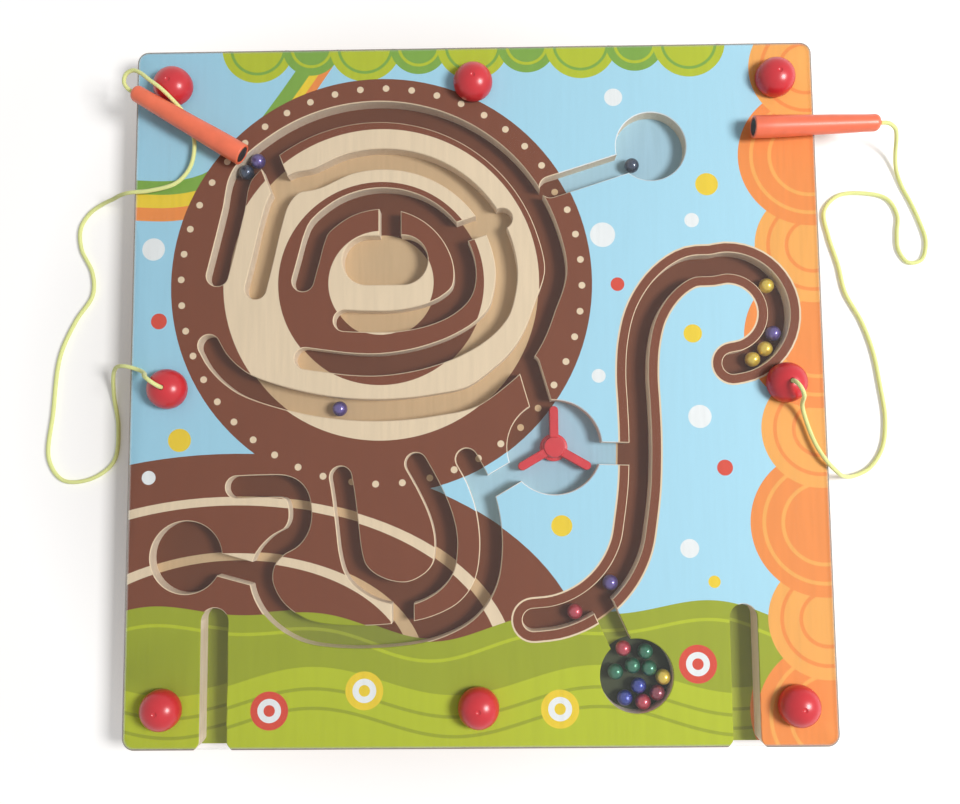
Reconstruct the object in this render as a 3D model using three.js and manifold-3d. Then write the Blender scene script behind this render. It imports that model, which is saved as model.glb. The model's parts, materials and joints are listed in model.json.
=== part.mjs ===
// Magnetic maze board: a routed wooden board under a clear cover, worked with two tethered magnet pens.
// Millimetres, +Z up. The origin is the centre of the board's underside.
// +X runs to the right and +Y to the top edge, as the player sees the board.
import * as THREE from 'three';
import { mergeVertices } from 'three/addons/utils/BufferGeometryUtils.js';
import Module from 'manifold-3d';

const wasm = await Module();
wasm.setup();

// Board
const BOARD_WIDTH = 300;
const BOARD_LENGTH = 304;
const BOARD_THICKNESS = 15;
const BOARD_CORNER_RADIUS = 5;

// Clear cover sheet
const COVER_THICKNESS = 1.5;
const COVER_INSET = 0.6;

// Steel beads and the grooves that they roll in
const BEAD_DIAMETER = 6.6;
const BEAD_SIDE_PLAY = 2.8;
const BEAD_HEADROOM = 0.9;
const BEAD_REST_GAP = 0.2;

// Round pockets and the wide middle pocket
const SMALL_POCKET_RADIUS = 15.4;
const SPINNER_POCKET_RADIUS = 20.3;
const MIDDLE_POCKET_WIDTH = 22;

// Red pegs that hold the cover down
const PEG_EDGE_INSET = 17.3;
const PEG_HEAD_RADIUS = 8.6;
const PEG_HEAD_HEIGHT = 9;
const PEG_RIM_HEIGHT = 1.6;
const PEG_STEM_RADIUS = 3;
const PEG_STEM_DEPTH = 9;
const PEG_DIMPLE_RADIUS = 1.2;
const PEG_DIMPLE_DEPTH = 0.5;

// Spinner, a three-armed turnstile on a pin
const SPINNER_ARM_REACH = 17.8;
const SPINNER_ARM_WIDTH = 3.8;
const SPINNER_ARM_COUNT = 3;
const SPINNER_FIRST_ARM_DEG = 90;
const SPINNER_HUB_RADIUS = 4.5;
const SPINNER_FLANGE_RADIUS = 6;
const SPINNER_FLANGE_HEIGHT = 2.2;
const SPINNER_TOP_CLEARANCE = 0.7;
const PIN_RADIUS = 1.5;
const PIN_SOCKET_DEPTH = 4;
const PIN_REACH = 4.2;

// Magnet pens
const PEN_LENGTH = 55;
const PEN_MAGNET_END_RADIUS = 4.8;
const PEN_WAIST_RADIUS = 4.2;
const PEN_CORD_END_RADIUS = 3.7;
const PEN_GRIP_LENGTH = 8;
const PEN_WAIST_AT = 32;
const PEN_EDGE_ROUND = 0.5;
const PEN_CORD_END_ROUND = 2.4;
const MAGNET_RADIUS = 3.4;
const MAGNET_LENGTH = 5;

// Where the pens lie: each magnet end from the nearest corner, its heading, and where it is propped
const PEN_LEFT_END_INSET = { x: 49.5, y: 50.4 };
const PEN_LEFT_HEADING_DEG = 149.3;
const PEN_RIGHT_END_INSET = { x: 28.8, y: 41.1 };
const PEN_RIGHT_HEADING_DEG = 1.6;
const PEN_PROP_AT = 29;

// Slots in the lower edge that store the pens
const SLOT_OFFSET_X = 111.7;
const SLOT_SIDE_PLAY = 2;
const SLOT_HEADROOM = 0.8;
const SLOT_END_PLAY = 3.7;
const SLOT_MOUTH_FLARE = 2.2;
const SLOT_MOUTH_LENGTH = 3.5;

// Cords that tie the pens to the two middle pegs
const CORD_DIAMETER = 1.8;
const CORD_SIDES = 8;
const CORD_STEPS = 68;
const CORD_HOLE_DEPTH = 6.5;

// Clearances: between flat seats, round fits, and pieces that lie against each other
const SEAT_GAP = 0.05;
const FIT_GAP = 0.1;
const REST_GAP = 0.3;

// Fineness of the curves
const ROUTE_STEPS = 2;
const END_STEPS = 6;
const ROUND_STEPS = 18;
const PEG_STEPS = 14;
const HOLE_STEPS = 8;
const PEN_STEPS = 14;
const OVERCUT = 2;

// Sizes that follow from the values above
const beadRadius = BEAD_DIAMETER / 2;
const grooveWidth = BEAD_DIAMETER + BEAD_SIDE_PLAY;
const grooveDepth = BEAD_DIAMETER + BEAD_HEADROOM;
const grooveFloor = BOARD_THICKNESS - grooveDepth;
const coverBottom = BOARD_THICKNESS + SEAT_GAP;
const coverTop = coverBottom + COVER_THICKNESS;
const pegX = BOARD_WIDTH / 2 - PEG_EDGE_INSET;
const pegY = BOARD_LENGTH / 2 - PEG_EDGE_INSET;
const cordRadius = CORD_DIAMETER / 2;
const cordHoleRadius = cordRadius + REST_GAP;
const slotWidth = 2 * PEN_MAGNET_END_RADIUS + SLOT_SIDE_PLAY;
const slotDepth = 2 * PEN_MAGNET_END_RADIUS + SLOT_HEADROOM;
const slotLength = PEN_LENGTH + SLOT_END_PLAY;

// Circles that the curved grooves follow, as centre and radius
const OUTER_RING = { x: -42.5, y: 45, radius: 78 };
const MIDDLE_RING = { x: -40.5, y: 47, radius: 54.5 };
const INNER_RING = { x: -40.5, y: 47, radius: 36.6 };
const LOWER_SWEEP = { x: -42, y: 140.2, radius: 150 };
const HOOK = { x: 109.5, y: 30.8, radius: 22 };
const TRACK_BEND = { x: 23.5, y: -55.3, radius: 44 };

// Round pockets
const CORNER_POCKET = { x: 78, y: 105.5, radius: SMALL_POCKET_RADIUS };
const SIDE_POCKET = { x: -124.3, y: -72, radius: SMALL_POCKET_RADIUS };
const BEAD_BOWL = { x: 66.3, y: -122.7, radius: SMALL_POCKET_RADIUS };
const SPINNER_POCKET = { x: 33.5, y: -26.5, radius: SPINNER_POCKET_RADIUS };

function onCircle(circle, degrees, offset = 0) {
  const angle = THREE.MathUtils.degToRad(degrees);
  const reach = circle.radius + offset;
  return [circle.x + reach * Math.cos(angle), circle.y + reach * Math.sin(angle)];
}

function arcPoints(circle, fromDegrees, toDegrees, count) {
  const points = [];
  for (let i = 0; i < count; i += 1) {
    points.push(onCircle(circle, fromDegrees + ((toDegrees - fromDegrees) * i) / (count - 1)));
  }
  return points;
}

const ringLeft = OUTER_RING.x - OUTER_RING.radius;

// Centre-lines of the grooves, one list of points each
const GROOVE_ROUTES = {
  outerSpiral: [
    [ringLeft + 7.7, 50], [ringLeft + 11.3, 65], [ringLeft + 14.5, 79],
    ...arcPoints(OUTER_RING, 140, 4, 11),
    [30.2, 34], [25.4, 22], [19.5, 12.8], [11.5, 5],
    ...arcPoints(LOWER_SWEEP, -74.5, -112, 7),
    [-106.5, 6.6], [-112.3, 12.8], [-116, 19.2],
  ],
  middleSpiral: [
    [-96, 44], [-92.7, 58], [-89.6, 72], [-86, 83.5], [-79.5, 90.8],
    ...arcPoints(MIDDLE_RING, 122, 4, 8),
    [11.8, 36.5], [8, 29.5], [1.5, 23.5], [-6, 19], [-14, 15.5],
    [-26, 12], [-40, 10], [-53, 10.2], [-66, 11.8], [-74, 13],
  ],
  innerSpiral: [
    [-75.2, 47.2], [-72.6, 57], [-70.2, 66],
    ...arcPoints(INNER_RING, 136, 12, 7),
    [-5.2, 43], [-11.5, 36], [-22, 31.3], [-35, 29], [-48, 29], [-57, 29.5],
  ],
  outerToMiddle: [[-85, 88], [-90.5, 102]],
  middleToInner: [[-6, 68], [12, 74]],
  middlePocketNeck: [[-37, 83], [-37, 60]],
  cornerPocketLink: [[33.5, 87.7], [70, 99.2]],
  spinnerTopLink: [[23, 9], [29, -12]],
  spinnerRightLink: [[45, -29], [69.5, -29.8]],
  spinnerLeftLink: [[20, -35], [3.5, -44.5]],
  lowerLoop: [
    [-4.3, -31.3], [0.3, -40], [4, -51], [5.7, -62], [5.7, -72], [4, -82], [0, -90],
    [-6.5, -96.5], [-16, -101.3], [-26, -104], [-40, -105.5], [-55, -105.7], [-70, -104],
    [-80, -99.5], [-87.5, -92.5], [-91.8, -83], [-90.8, -74], [-85.5, -67.5], [-79, -63.5],
    [-75.8, -57.5], [-75.8, -50], [-78, -44.8], [-83, -42.2], [-93, -42], [-103, -42.3],
  ],
  innerLoop: [
    [-26, -33], [-20.5, -43], [-16, -53], [-13.6, -62], [-13.3, -70], [-15, -78],
    [-20.5, -84], [-29, -87.7], [-38, -87], [-46, -83.5], [-51.5, -78], [-54, -70],
    [-55.5, -58], [-57, -46], [-58.3, -38.5],
  ],
  loopLink: [[-31.8, -88], [-31.8, -104]],
  sidePocketLink: [[-112, -74.5], [-92, -80]],
  hookTrack: [
    ...arcPoints(TRACK_BEND, -90, -5, 8),
    [69.3, -45], [70.1, -32], [70.3, -20], [70, -8], [69.6, 4], [70.5, 17],
    [73.5, 29.5], [79, 39.5], [86, 46.8], [94, 51.2],
    ...arcPoints(HOOK, 107, -86, 13),
  ],
  beadBowlLink: [[53, -94], [61.5, -113]],
};
const MIDDLE_POCKET_ROUTE = [[-47, 56], [-31.5, 56]];

// A closed geometry as a solid that can be cut and joined
function toSolid(geometry) {
  const plain = geometry.clone();
  plain.deleteAttribute('normal');
  plain.deleteAttribute('uv');
  const merged = mergeVertices(plain);
  return new wasm.Manifold(new wasm.Mesh({
    numProp: 3,
    vertProperties: new Float32Array(merged.attributes.position.array),
    triVerts: new Uint32Array(merged.index.array),
  }));
}

function toGeometry(solid) {
  const mesh = solid.getMesh();
  const geometry = new THREE.BufferGeometry();
  geometry.setAttribute('position', new THREE.BufferAttribute(mesh.vertProperties, 3));
  geometry.setIndex(new THREE.BufferAttribute(mesh.triVerts, 1));
  geometry.computeVertexNormals();
  return geometry;
}

// An upright prism of an outline, from one height to another
function prism(shape, bottom, top, curveSegments = ROUND_STEPS) {
  const geometry = new THREE.ExtrudeGeometry(shape, {
    depth: top - bottom,
    bevelEnabled: false,
    curveSegments,
  });
  return geometry.translate(0, 0, bottom);
}

function circleShape(x, y, radius) {
  const shape = new THREE.Shape();
  shape.absarc(x, y, radius, 0, 2 * Math.PI, false);
  return shape;
}

function roundedRectangle(width, length, radius) {
  const x = width / 2;
  const y = length / 2;
  const shape = new THREE.Shape();
  shape.absarc(x - radius, y - radius, radius, 0, Math.PI / 2, false);
  shape.absarc(-x + radius, y - radius, radius, Math.PI / 2, Math.PI, false);
  shape.absarc(-x + radius, -y + radius, radius, Math.PI, 1.5 * Math.PI, false);
  shape.absarc(x - radius, -y + radius, radius, 1.5 * Math.PI, 2 * Math.PI, false);
  return shape;
}

// The band that a round cutter leaves along a centre-line
function strokeShape(route, width) {
  const line = new THREE.SplineCurve(route.map(([x, y]) => new THREE.Vector2(x, y)));
  const steps = route.length > 2 ? (route.length - 1) * ROUTE_STEPS : 1;
  const left = [];
  const right = [];
  for (let i = 0; i <= steps; i += 1) {
    const point = line.getPoint(i / steps);
    const along = line.getTangent(i / steps);
    const across = new THREE.Vector2(-along.y, along.x).multiplyScalar(width / 2);
    left.push(point.clone().add(across));
    right.unshift(point.clone().sub(across));
  }
  const roundEnd = (centre, heading) => {
    const points = [];
    for (let i = 1; i < END_STEPS; i += 1) {
      const angle = heading + Math.PI / 2 - (Math.PI * i) / END_STEPS;
      const x = centre.x + (width / 2) * Math.cos(angle);
      const y = centre.y + (width / 2) * Math.sin(angle);
      points.push(new THREE.Vector2(x, y));
    }
    return points;
  };
  const farEnd = roundEnd(line.getPoint(1), line.getTangent(1).angle());
  const nearEnd = roundEnd(line.getPoint(0), line.getTangent(0).angle() + Math.PI);
  return new THREE.Shape([...left, ...farEnd, ...right, ...nearEnd]);
}

// Pen slot: a round inner end and a mouth that opens through the lower edge
function slotShape(centreX) {
  const half = slotWidth / 2;
  const edgeY = -BOARD_LENGTH / 2;
  const roundY = edgeY + slotLength - half;
  const mouth = half + SLOT_MOUTH_FLARE;
  const shape = new THREE.Shape();
  shape.moveTo(centreX - mouth, edgeY - OVERCUT);
  shape.lineTo(centreX + mouth, edgeY - OVERCUT);
  shape.lineTo(centreX + mouth, edgeY);
  shape.lineTo(centreX + half, edgeY + SLOT_MOUTH_LENGTH);
  shape.lineTo(centreX + half, roundY);
  shape.absarc(centreX, roundY, half, 0, Math.PI, false);
  shape.lineTo(centreX - half, edgeY + SLOT_MOUTH_LENGTH);
  shape.lineTo(centreX - mouth, edgeY);
  return shape;
}

// Pegs in reading order; the two that hold a cord are drilled from the top
const PEGS = [
  { name: 'peg_top_left', x: -pegX, y: pegY },
  { name: 'peg_top_centre', x: 0, y: pegY },
  { name: 'peg_top_right', x: pegX, y: pegY },
  { name: 'peg_middle_left', x: -pegX, y: 0, holdsCord: true },
  { name: 'peg_middle_right', x: pegX, y: 0, holdsCord: true },
  { name: 'peg_bottom_left', x: -pegX, y: -pegY },
  { name: 'peg_bottom_centre', x: 0, y: -pegY },
  { name: 'peg_bottom_right', x: pegX, y: -pegY },
];

function boardGeometry() {
  const outline = roundedRectangle(BOARD_WIDTH, BOARD_LENGTH, BOARD_CORNER_RADIUS);
  const overTop = BOARD_THICKNESS + OVERCUT;
  const cuts = Object.values(GROOVE_ROUTES)
    .map((route) => prism(strokeShape(route, grooveWidth), grooveFloor, overTop));
  cuts.push(prism(strokeShape(MIDDLE_POCKET_ROUTE, MIDDLE_POCKET_WIDTH), grooveFloor, overTop));
  for (const pocket of [CORNER_POCKET, SIDE_POCKET, BEAD_BOWL, SPINNER_POCKET]) {
    const round = circleShape(pocket.x, pocket.y, pocket.radius);
    cuts.push(prism(round, grooveFloor, overTop));
  }
  for (const side of [-1, 1]) {
    const slot = slotShape(side * SLOT_OFFSET_X);
    cuts.push(prism(slot, BOARD_THICKNESS - slotDepth, overTop, END_STEPS * 2));
  }
  for (const peg of PEGS) {
    const hole = circleShape(peg.x, peg.y, PEG_STEM_RADIUS + FIT_GAP);
    cuts.push(prism(hole, BOARD_THICKNESS - PEG_STEM_DEPTH, overTop, HOLE_STEPS));
  }
  const socket = circleShape(SPINNER_POCKET.x, SPINNER_POCKET.y, PIN_RADIUS + FIT_GAP);
  cuts.push(prism(socket, grooveFloor - PIN_SOCKET_DEPTH, overTop, HOLE_STEPS));
  let board = toSolid(prism(outline, 0, BOARD_THICKNESS, END_STEPS));
  for (const cut of cuts) {
    board = board.subtract(toSolid(cut));
  }
  return toGeometry(board);
}

function coverGeometry() {
  const width = BOARD_WIDTH - 2 * COVER_INSET;
  const length = BOARD_LENGTH - 2 * COVER_INSET;
  const outline = roundedRectangle(width, length, BOARD_CORNER_RADIUS - COVER_INSET);
  for (const peg of PEGS) {
    outline.holes.push(circleShape(peg.x, peg.y, PEG_STEM_RADIUS + FIT_GAP));
  }
  return prism(outline, coverBottom, coverTop, HOLE_STEPS);
}

// A solid of revolution about local Z from (radius, height) pairs
function turned(profile, segments) {
  return new THREE.LatheGeometry(profile.map(([r, z]) => new THREE.Vector2(r, z)), segments)
    .rotateX(Math.PI / 2);
}

function pegGeometry(holdsCord) {
  const stemBottom = -(COVER_THICKNESS + 2 * SEAT_GAP + PEG_STEM_DEPTH - REST_GAP);
  const openRadius = holdsCord ? cordHoleRadius : PEG_DIMPLE_RADIUS;
  const openDepth = holdsCord ? CORD_HOLE_DEPTH : PEG_DIMPLE_DEPTH;
  const domeHeight = PEG_HEAD_HEIGHT - PEG_RIM_HEIGHT;
  const domeSteps = 5;
  const lastAngle = Math.acos(openRadius / PEG_HEAD_RADIUS);
  const dome = [];
  for (let i = 0; i <= domeSteps; i += 1) {
    const angle = (lastAngle * i) / domeSteps;
    dome.push([PEG_HEAD_RADIUS * Math.cos(angle), PEG_RIM_HEIGHT + domeHeight * Math.sin(angle)]);
  }
  const mouthHeight = dome[domeSteps][1];
  const opening = holdsCord
    ? [[openRadius, mouthHeight - openDepth], [0, mouthHeight - openDepth]]
    : [[0, mouthHeight - openDepth]];
  return turned([
    [0, stemBottom],
    [PEG_STEM_RADIUS, stemBottom],
    [PEG_STEM_RADIUS, 0],
    [PEG_HEAD_RADIUS, 0],
    ...dome,
    ...opening,
  ], PEG_STEPS);
}

// The rotor's arms and hub are one moulding, with a blind bore for the pin from below
function spinnerGeometry() {
  const bottom = BEAD_REST_GAP;
  const top = grooveDepth - SPINNER_TOP_CLEARANCE;
  let rotor = toSolid(prism(circleShape(0, 0, SPINNER_HUB_RADIUS), bottom, top, HOLE_STEPS));
  const flangeTop = bottom + SPINNER_FLANGE_HEIGHT;
  const flange = prism(circleShape(0, 0, SPINNER_FLANGE_RADIUS), bottom, flangeTop, HOLE_STEPS);
  rotor = rotor.add(toSolid(flange));
  for (let i = 0; i < SPINNER_ARM_COUNT; i += 1) {
    const angle = THREE.MathUtils.degToRad(SPINNER_FIRST_ARM_DEG + (360 * i) / SPINNER_ARM_COUNT);
    const reach = SPINNER_ARM_REACH - SPINNER_ARM_WIDTH / 2;
    const tip = [reach * Math.cos(angle), reach * Math.sin(angle)];
    const arm = prism(strokeShape([[0, 0], tip], SPINNER_ARM_WIDTH), bottom, top - SPINNER_TOP_CLEARANCE);
    rotor = rotor.add(toSolid(arm));
  }
  const bore = prism(circleShape(0, 0, PIN_RADIUS + FIT_GAP), -OVERCUT, PIN_REACH + REST_GAP, HOLE_STEPS);
  return toGeometry(rotor.subtract(toSolid(bore)));
}

function pinGeometry() {
  return prism(circleShape(0, 0, PIN_RADIUS), REST_GAP - PIN_SOCKET_DEPTH, PIN_REACH, HOLE_STEPS);
}

// Pen radius at a distance from the magnet end
function penRadiusAt(distance) {
  if (distance <= PEN_WAIST_AT) {
    const share = Math.max(0, distance - PEN_GRIP_LENGTH) / (PEN_WAIST_AT - PEN_GRIP_LENGTH);
    return THREE.MathUtils.lerp(PEN_MAGNET_END_RADIUS, PEN_WAIST_RADIUS, share);
  }
  const share = (distance - PEN_WAIST_AT) / (PEN_LENGTH - PEN_CORD_END_ROUND - PEN_WAIST_AT);
  return THREE.MathUtils.lerp(PEN_WAIST_RADIUS, PEN_CORD_END_RADIUS, Math.min(1, share));
}

// Pen body along local Z, magnet end at the origin, with the magnet's bore open at that end
function penGeometry() {
  const boreRadius = MAGNET_RADIUS + REST_GAP;
  const boreDepth = MAGNET_LENGTH + REST_GAP;
  const shoulder = PEN_LENGTH - PEN_CORD_END_ROUND;
  const flat = PEN_CORD_END_RADIUS - PEN_CORD_END_ROUND;
  const halfway = Math.SQRT1_2 * PEN_CORD_END_ROUND;
  return turned([
    [0, boreDepth],
    [boreRadius, boreDepth],
    [boreRadius, 0],
    [PEN_MAGNET_END_RADIUS - PEN_EDGE_ROUND, 0],
    [PEN_MAGNET_END_RADIUS, PEN_EDGE_ROUND],
    [PEN_MAGNET_END_RADIUS, PEN_GRIP_LENGTH],
    [PEN_WAIST_RADIUS, PEN_WAIST_AT],
    [PEN_CORD_END_RADIUS, shoulder],
    [flat + halfway, shoulder + halfway],
    [flat, PEN_LENGTH],
    [0, PEN_LENGTH],
  ], PEN_STEPS);
}

function magnetGeometry() {
  return turned([
    [0, 0],
    [MAGNET_RADIUS, 0],
    [MAGNET_RADIUS, MAGNET_LENGTH],
    [0, MAGNET_LENGTH],
  ], PEN_STEPS);
}

// A pen lies with its magnet end at one point of the cover and its cord end towards another.
// propAt is how far along the pen it is propped, and propHeight is how high above the cover.
function penPlacement(magnetEnd, heading, propAt, propHeight) {
  const angle = THREE.MathUtils.degToRad(heading);
  const restZ = coverTop + REST_GAP + PEN_MAGNET_END_RADIUS;
  const propZ = coverTop + propHeight + REST_GAP + penRadiusAt(propAt);
  const pitch = Math.atan2(propZ - restZ, propAt);
  const along = new THREE.Vector3(
    Math.cos(angle) * Math.cos(pitch),
    Math.sin(angle) * Math.cos(pitch),
    Math.sin(pitch),
  );
  return { position: new THREE.Vector3(magnetEnd[0], magnetEnd[1], restZ), along };
}

const penLeftEnd = [-BOARD_WIDTH / 2 + PEN_LEFT_END_INSET.x, BOARD_LENGTH / 2 - PEN_LEFT_END_INSET.y];
const penRightEnd = [BOARD_WIDTH / 2 - PEN_RIGHT_END_INSET.x, BOARD_LENGTH / 2 - PEN_RIGHT_END_INSET.y];
const PEN_LEFT = penPlacement(penLeftEnd, PEN_LEFT_HEADING_DEG, PEN_PROP_AT, REST_GAP + CORD_DIAMETER);
const PEN_RIGHT = penPlacement(penRightEnd, PEN_RIGHT_HEADING_DEG, PEN_PROP_AT, 0);

// Cord routes from the pen to the peg, as points that the cord passes through
const CORD_LEFT_ROUTE = [
  [-148.4, 129.95, 23.3], [-150.4, 131.2, 23.4], [-152.2, 134.1, 23.9], [-151.1, 137.5, 24.6],
  [-147.8, 138.8, 25.4], [-144.2, 137.2, 26.3], [-139.8, 133.6, 27], [-135.2, 130.2, 26.3],
  [-131.2, 126.5, 23], [-127.9, 122.7, 19.2], [-125.2, 117.5, 17.8], [-122.9, 108.6, 17.8],
  [-124.6, 97.9, 17.8], [-130.6, 90.9, 17.8], [-142, 87.6, 17.8], [-151.6, 87, 17.1],
  [-157.2, 87.2, 13], [-163, 87.4, 7], [-169.4, 86.5, 2.8], [-175.8, 82.8, 1.2],
  [-179.9, 76, 1], [-179.4, 66.5, 1], [-174, 55, 1], [-173.6, 45, 1], [-181, 33, 1],
  [-187.6, 17, 1], [-190, -8, 1], [-191.2, -29.5, 1], [-184.6, -38.6, 1], [-172.4, -38.2, 1],
  [-162.2, -30.7, 1], [-160.4, -15, 1.1], [-162.4, -1, 1.9], [-159.6, 9, 9], [-152.6, 10.3, 17.2],
  [-144.6, 8.2, 18.6], [-140.4, 5.8, 23.4], [-139.2, 4.9, 27.6], [-137.2, 3.4, 29.8],
  [-134.9, 1.65, 29.8], [-133.2, 0.4, 27.8], [-132.7, 0, 24.6], [-132.7, 0, 19.7],
];
const CORD_RIGHT_ROUTE = [
  [176.9, 112.45, 20.5], [180.2, 112.4, 20.2], [184.4, 111.2, 17.2], [187.4, 108.8, 11.4],
  [189.4, 104.6, 5.4], [190.9, 98.2, 1.9], [193.4, 90.6, 1], [197, 83, 1], [200.6, 74, 1],
  [203, 64.6, 1], [200.6, 56.4, 1], [194.6, 55.4, 1], [190.6, 61, 1], [190.2, 68.5, 1],
  [190.8, 77, 1], [186.6, 84.6, 1], [176.5, 87.4, 1], [164.5, 86.4, 1], [158, 79.4, 1],
  [159.4, 68, 1], [163.2, 54.5, 1], [165.8, 42, 1], [172.6, 28.5, 1], [177, 15, 1],
  [179.4, 0, 1], [181, -15, 1], [179, -28, 1], [173, -36.6, 1.2], [165.6, -40, 2.4],
  [159, -40.2, 8.2], [153.6, -38.4, 15.2], [148.4, -34, 18.1], [143.8, -26.4, 17.9],
  [140.2, -16.6, 18], [138, -10.4, 20.4], [137.1, -8.2, 24.4], [136.5, -7, 27.6],
  [135.4, -5, 29.8], [134, -2.4, 29.8], [133, -0.6, 27.8], [132.7, 0, 24.6], [132.7, 0, 19.7],
];

function cordGeometry(route) {
  const line = new THREE.CatmullRomCurve3(route.map((point) => new THREE.Vector3(...point)));
  const section = new THREE.Shape();
  for (let i = 0; i < CORD_SIDES; i += 1) {
    const angle = (2 * Math.PI * i) / CORD_SIDES;
    const corner = [cordRadius * Math.cos(angle), cordRadius * Math.sin(angle)];
    if (i === 0) {
      section.moveTo(...corner);
    } else {
      section.lineTo(...corner);
    }
  }
  return new THREE.ExtrudeGeometry(section, { steps: CORD_STEPS, extrudePath: line });
}

// A place in a round pocket, from its centre
function inPocket(pocket, right, up) {
  return [pocket.x + right, pocket.y + up];
}

// Beads: each lies on a groove's circle, or loose in a pocket or its mouth
const BEADS = [
  { name: 'bead_01_violet', at: onCircle(OUTER_RING, 133.1, 0.9), finish: 'violet' },
  { name: 'bead_02_navy', at: onCircle(OUTER_RING, 138.3, 1.1), finish: 'navy' },
  { name: 'bead_03_violet', at: onCircle(LOWER_SWEEP, -96.66), finish: 'violet' },
  { name: 'bead_04_navy', at: inPocket(CORNER_POCKET, -8, -7.3), finish: 'navy' },
  { name: 'bead_05_yellow', at: onCircle(HOOK, 34.6), finish: 'yellow' },
  { name: 'bead_06_violet', at: onCircle(HOOK, -22.9), finish: 'violet' },
  { name: 'bead_07_yellow', at: onCircle(HOOK, -42.9, 0.5), finish: 'yellow' },
  { name: 'bead_08_yellow', at: onCircle(HOOK, -61.2, 0.7), finish: 'yellow' },
  { name: 'bead_09_violet', at: onCircle(TRACK_BEND, -41.3), finish: 'violet' },
  { name: 'bead_10_red', at: onCircle(TRACK_BEND, -66.7, 0.8), finish: 'scarlet' },
  { name: 'bead_11_red', at: inPocket(BEAD_BOWL, -4.9, 10.8), finish: 'scarlet' },
  { name: 'bead_12_green', at: inPocket(BEAD_BOWL, 4.4, 9.5), finish: 'green' },
  { name: 'bead_13_green', at: inPocket(BEAD_BOWL, -1.1, 3.6), finish: 'green' },
  { name: 'bead_14_green', at: inPocket(BEAD_BOWL, 5.8, 2.5), finish: 'green' },
  { name: 'bead_15_green', at: inPocket(BEAD_BOWL, -8.4, 1.1), finish: 'green' },
  { name: 'bead_16_yellow', at: inPocket(BEAD_BOWL, 11.7, -1.2), finish: 'yellow' },
  { name: 'bead_17_blue', at: inPocket(BEAD_BOWL, 1.2, -4.7), finish: 'blue' },
  { name: 'bead_18_blue', at: inPocket(BEAD_BOWL, -4.7, -9.7), finish: 'blue' },
  { name: 'bead_19_maroon', at: inPocket(BEAD_BOWL, 9, -7.7), finish: 'maroon' },
  { name: 'bead_20_red', at: inPocket(BEAD_BOWL, 2.9, -11.4), finish: 'scarlet' },
];

const MATERIALS = {
  wood: { color: 0x9bc8dc, roughness: 0.55, metalness: 0 },
  clear: { color: 0xf4fbff, roughness: 0.05, metalness: 0, transparent: true, opacity: 0.2 },
  redPlastic: { color: 0xd23741, roughness: 0.3, metalness: 0 },
  orangePlastic: { color: 0xff7048, roughness: 0.4, metalness: 0 },
  steel: { color: 0xb8bcc0, roughness: 0.3, metalness: 1 },
  ferrite: { color: 0x3c3a3b, roughness: 0.5, metalness: 0.4 },
  cord: { color: 0xe4ed82, roughness: 0.85, metalness: 0 },
  violet: { color: 0x6f4f9c, roughness: 0.25, metalness: 0.6 },
  navy: { color: 0x2f3c5a, roughness: 0.25, metalness: 0.6 },
  yellow: { color: 0xe2cf4c, roughness: 0.25, metalness: 0.6 },
  scarlet: { color: 0xc23a48, roughness: 0.25, metalness: 0.6 },
  green: { color: 0x2f7a58, roughness: 0.25, metalness: 0.6 },
  blue: { color: 0x2f3f9c, roughness: 0.25, metalness: 0.6 },
  maroon: { color: 0x8a3040, roughness: 0.25, metalness: 0.6 },
};
const materials = {};
for (const [name, look] of Object.entries(MATERIALS)) {
  materials[name] = new THREE.MeshStandardMaterial({ name, ...look });
}

const mazeBoard = new THREE.Group();

function addPiece(parent, name, geometry, finish, position = [0, 0, 0]) {
  const mesh = new THREE.Mesh(geometry, materials[finish]);
  mesh.name = name;
  mesh.position.set(...position);
  parent.add(mesh);
  return mesh;
}

function addPen(side, placement) {
  const pen = new THREE.Group();
  pen.position.copy(placement.position);
  pen.quaternion.setFromUnitVectors(new THREE.Vector3(0, 0, 1), placement.along);
  addPiece(pen, `pen_${side}_body`, penGeometry(), 'orangePlastic');
  addPiece(pen, `pen_${side}_magnet`, magnetGeometry(), 'ferrite');
  mazeBoard.add(pen);
}

addPiece(mazeBoard, 'maze_board', boardGeometry(), 'wood');
addPiece(mazeBoard, 'clear_cover', coverGeometry(), 'clear');
for (const peg of PEGS) {
  const position = [peg.x, peg.y, coverTop + SEAT_GAP];
  addPiece(mazeBoard, peg.name, pegGeometry(Boolean(peg.holdsCord)), 'redPlastic', position);
}
const spinnerPosition = [SPINNER_POCKET.x, SPINNER_POCKET.y, grooveFloor];
addPiece(mazeBoard, 'spinner_pin', pinGeometry(), 'steel', spinnerPosition);
addPiece(mazeBoard, 'spinner_rotor', spinnerGeometry(), 'redPlastic', spinnerPosition);
addPen('left', PEN_LEFT);
addPen('right', PEN_RIGHT);
addPiece(mazeBoard, 'cord_left', cordGeometry(CORD_LEFT_ROUTE), 'cord');
addPiece(mazeBoard, 'cord_right', cordGeometry(CORD_RIGHT_ROUTE), 'cord');
for (const bead of BEADS) {
  const ball = new THREE.SphereGeometry(beadRadius, 10, 7).rotateX(Math.PI / 2);
  const height = grooveFloor + beadRadius + BEAD_REST_GAP;
  addPiece(mazeBoard, bead.name, ball, bead.finish, [...bead.at, height]);
}

export default mazeBoard;
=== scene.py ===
"""Magnetic maze board: the looks of the part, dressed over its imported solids."""
import json
import math

import bpy
from mathutils import Matrix, Vector
from mathutils.geometry import delaunay_2d_cdt

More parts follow.
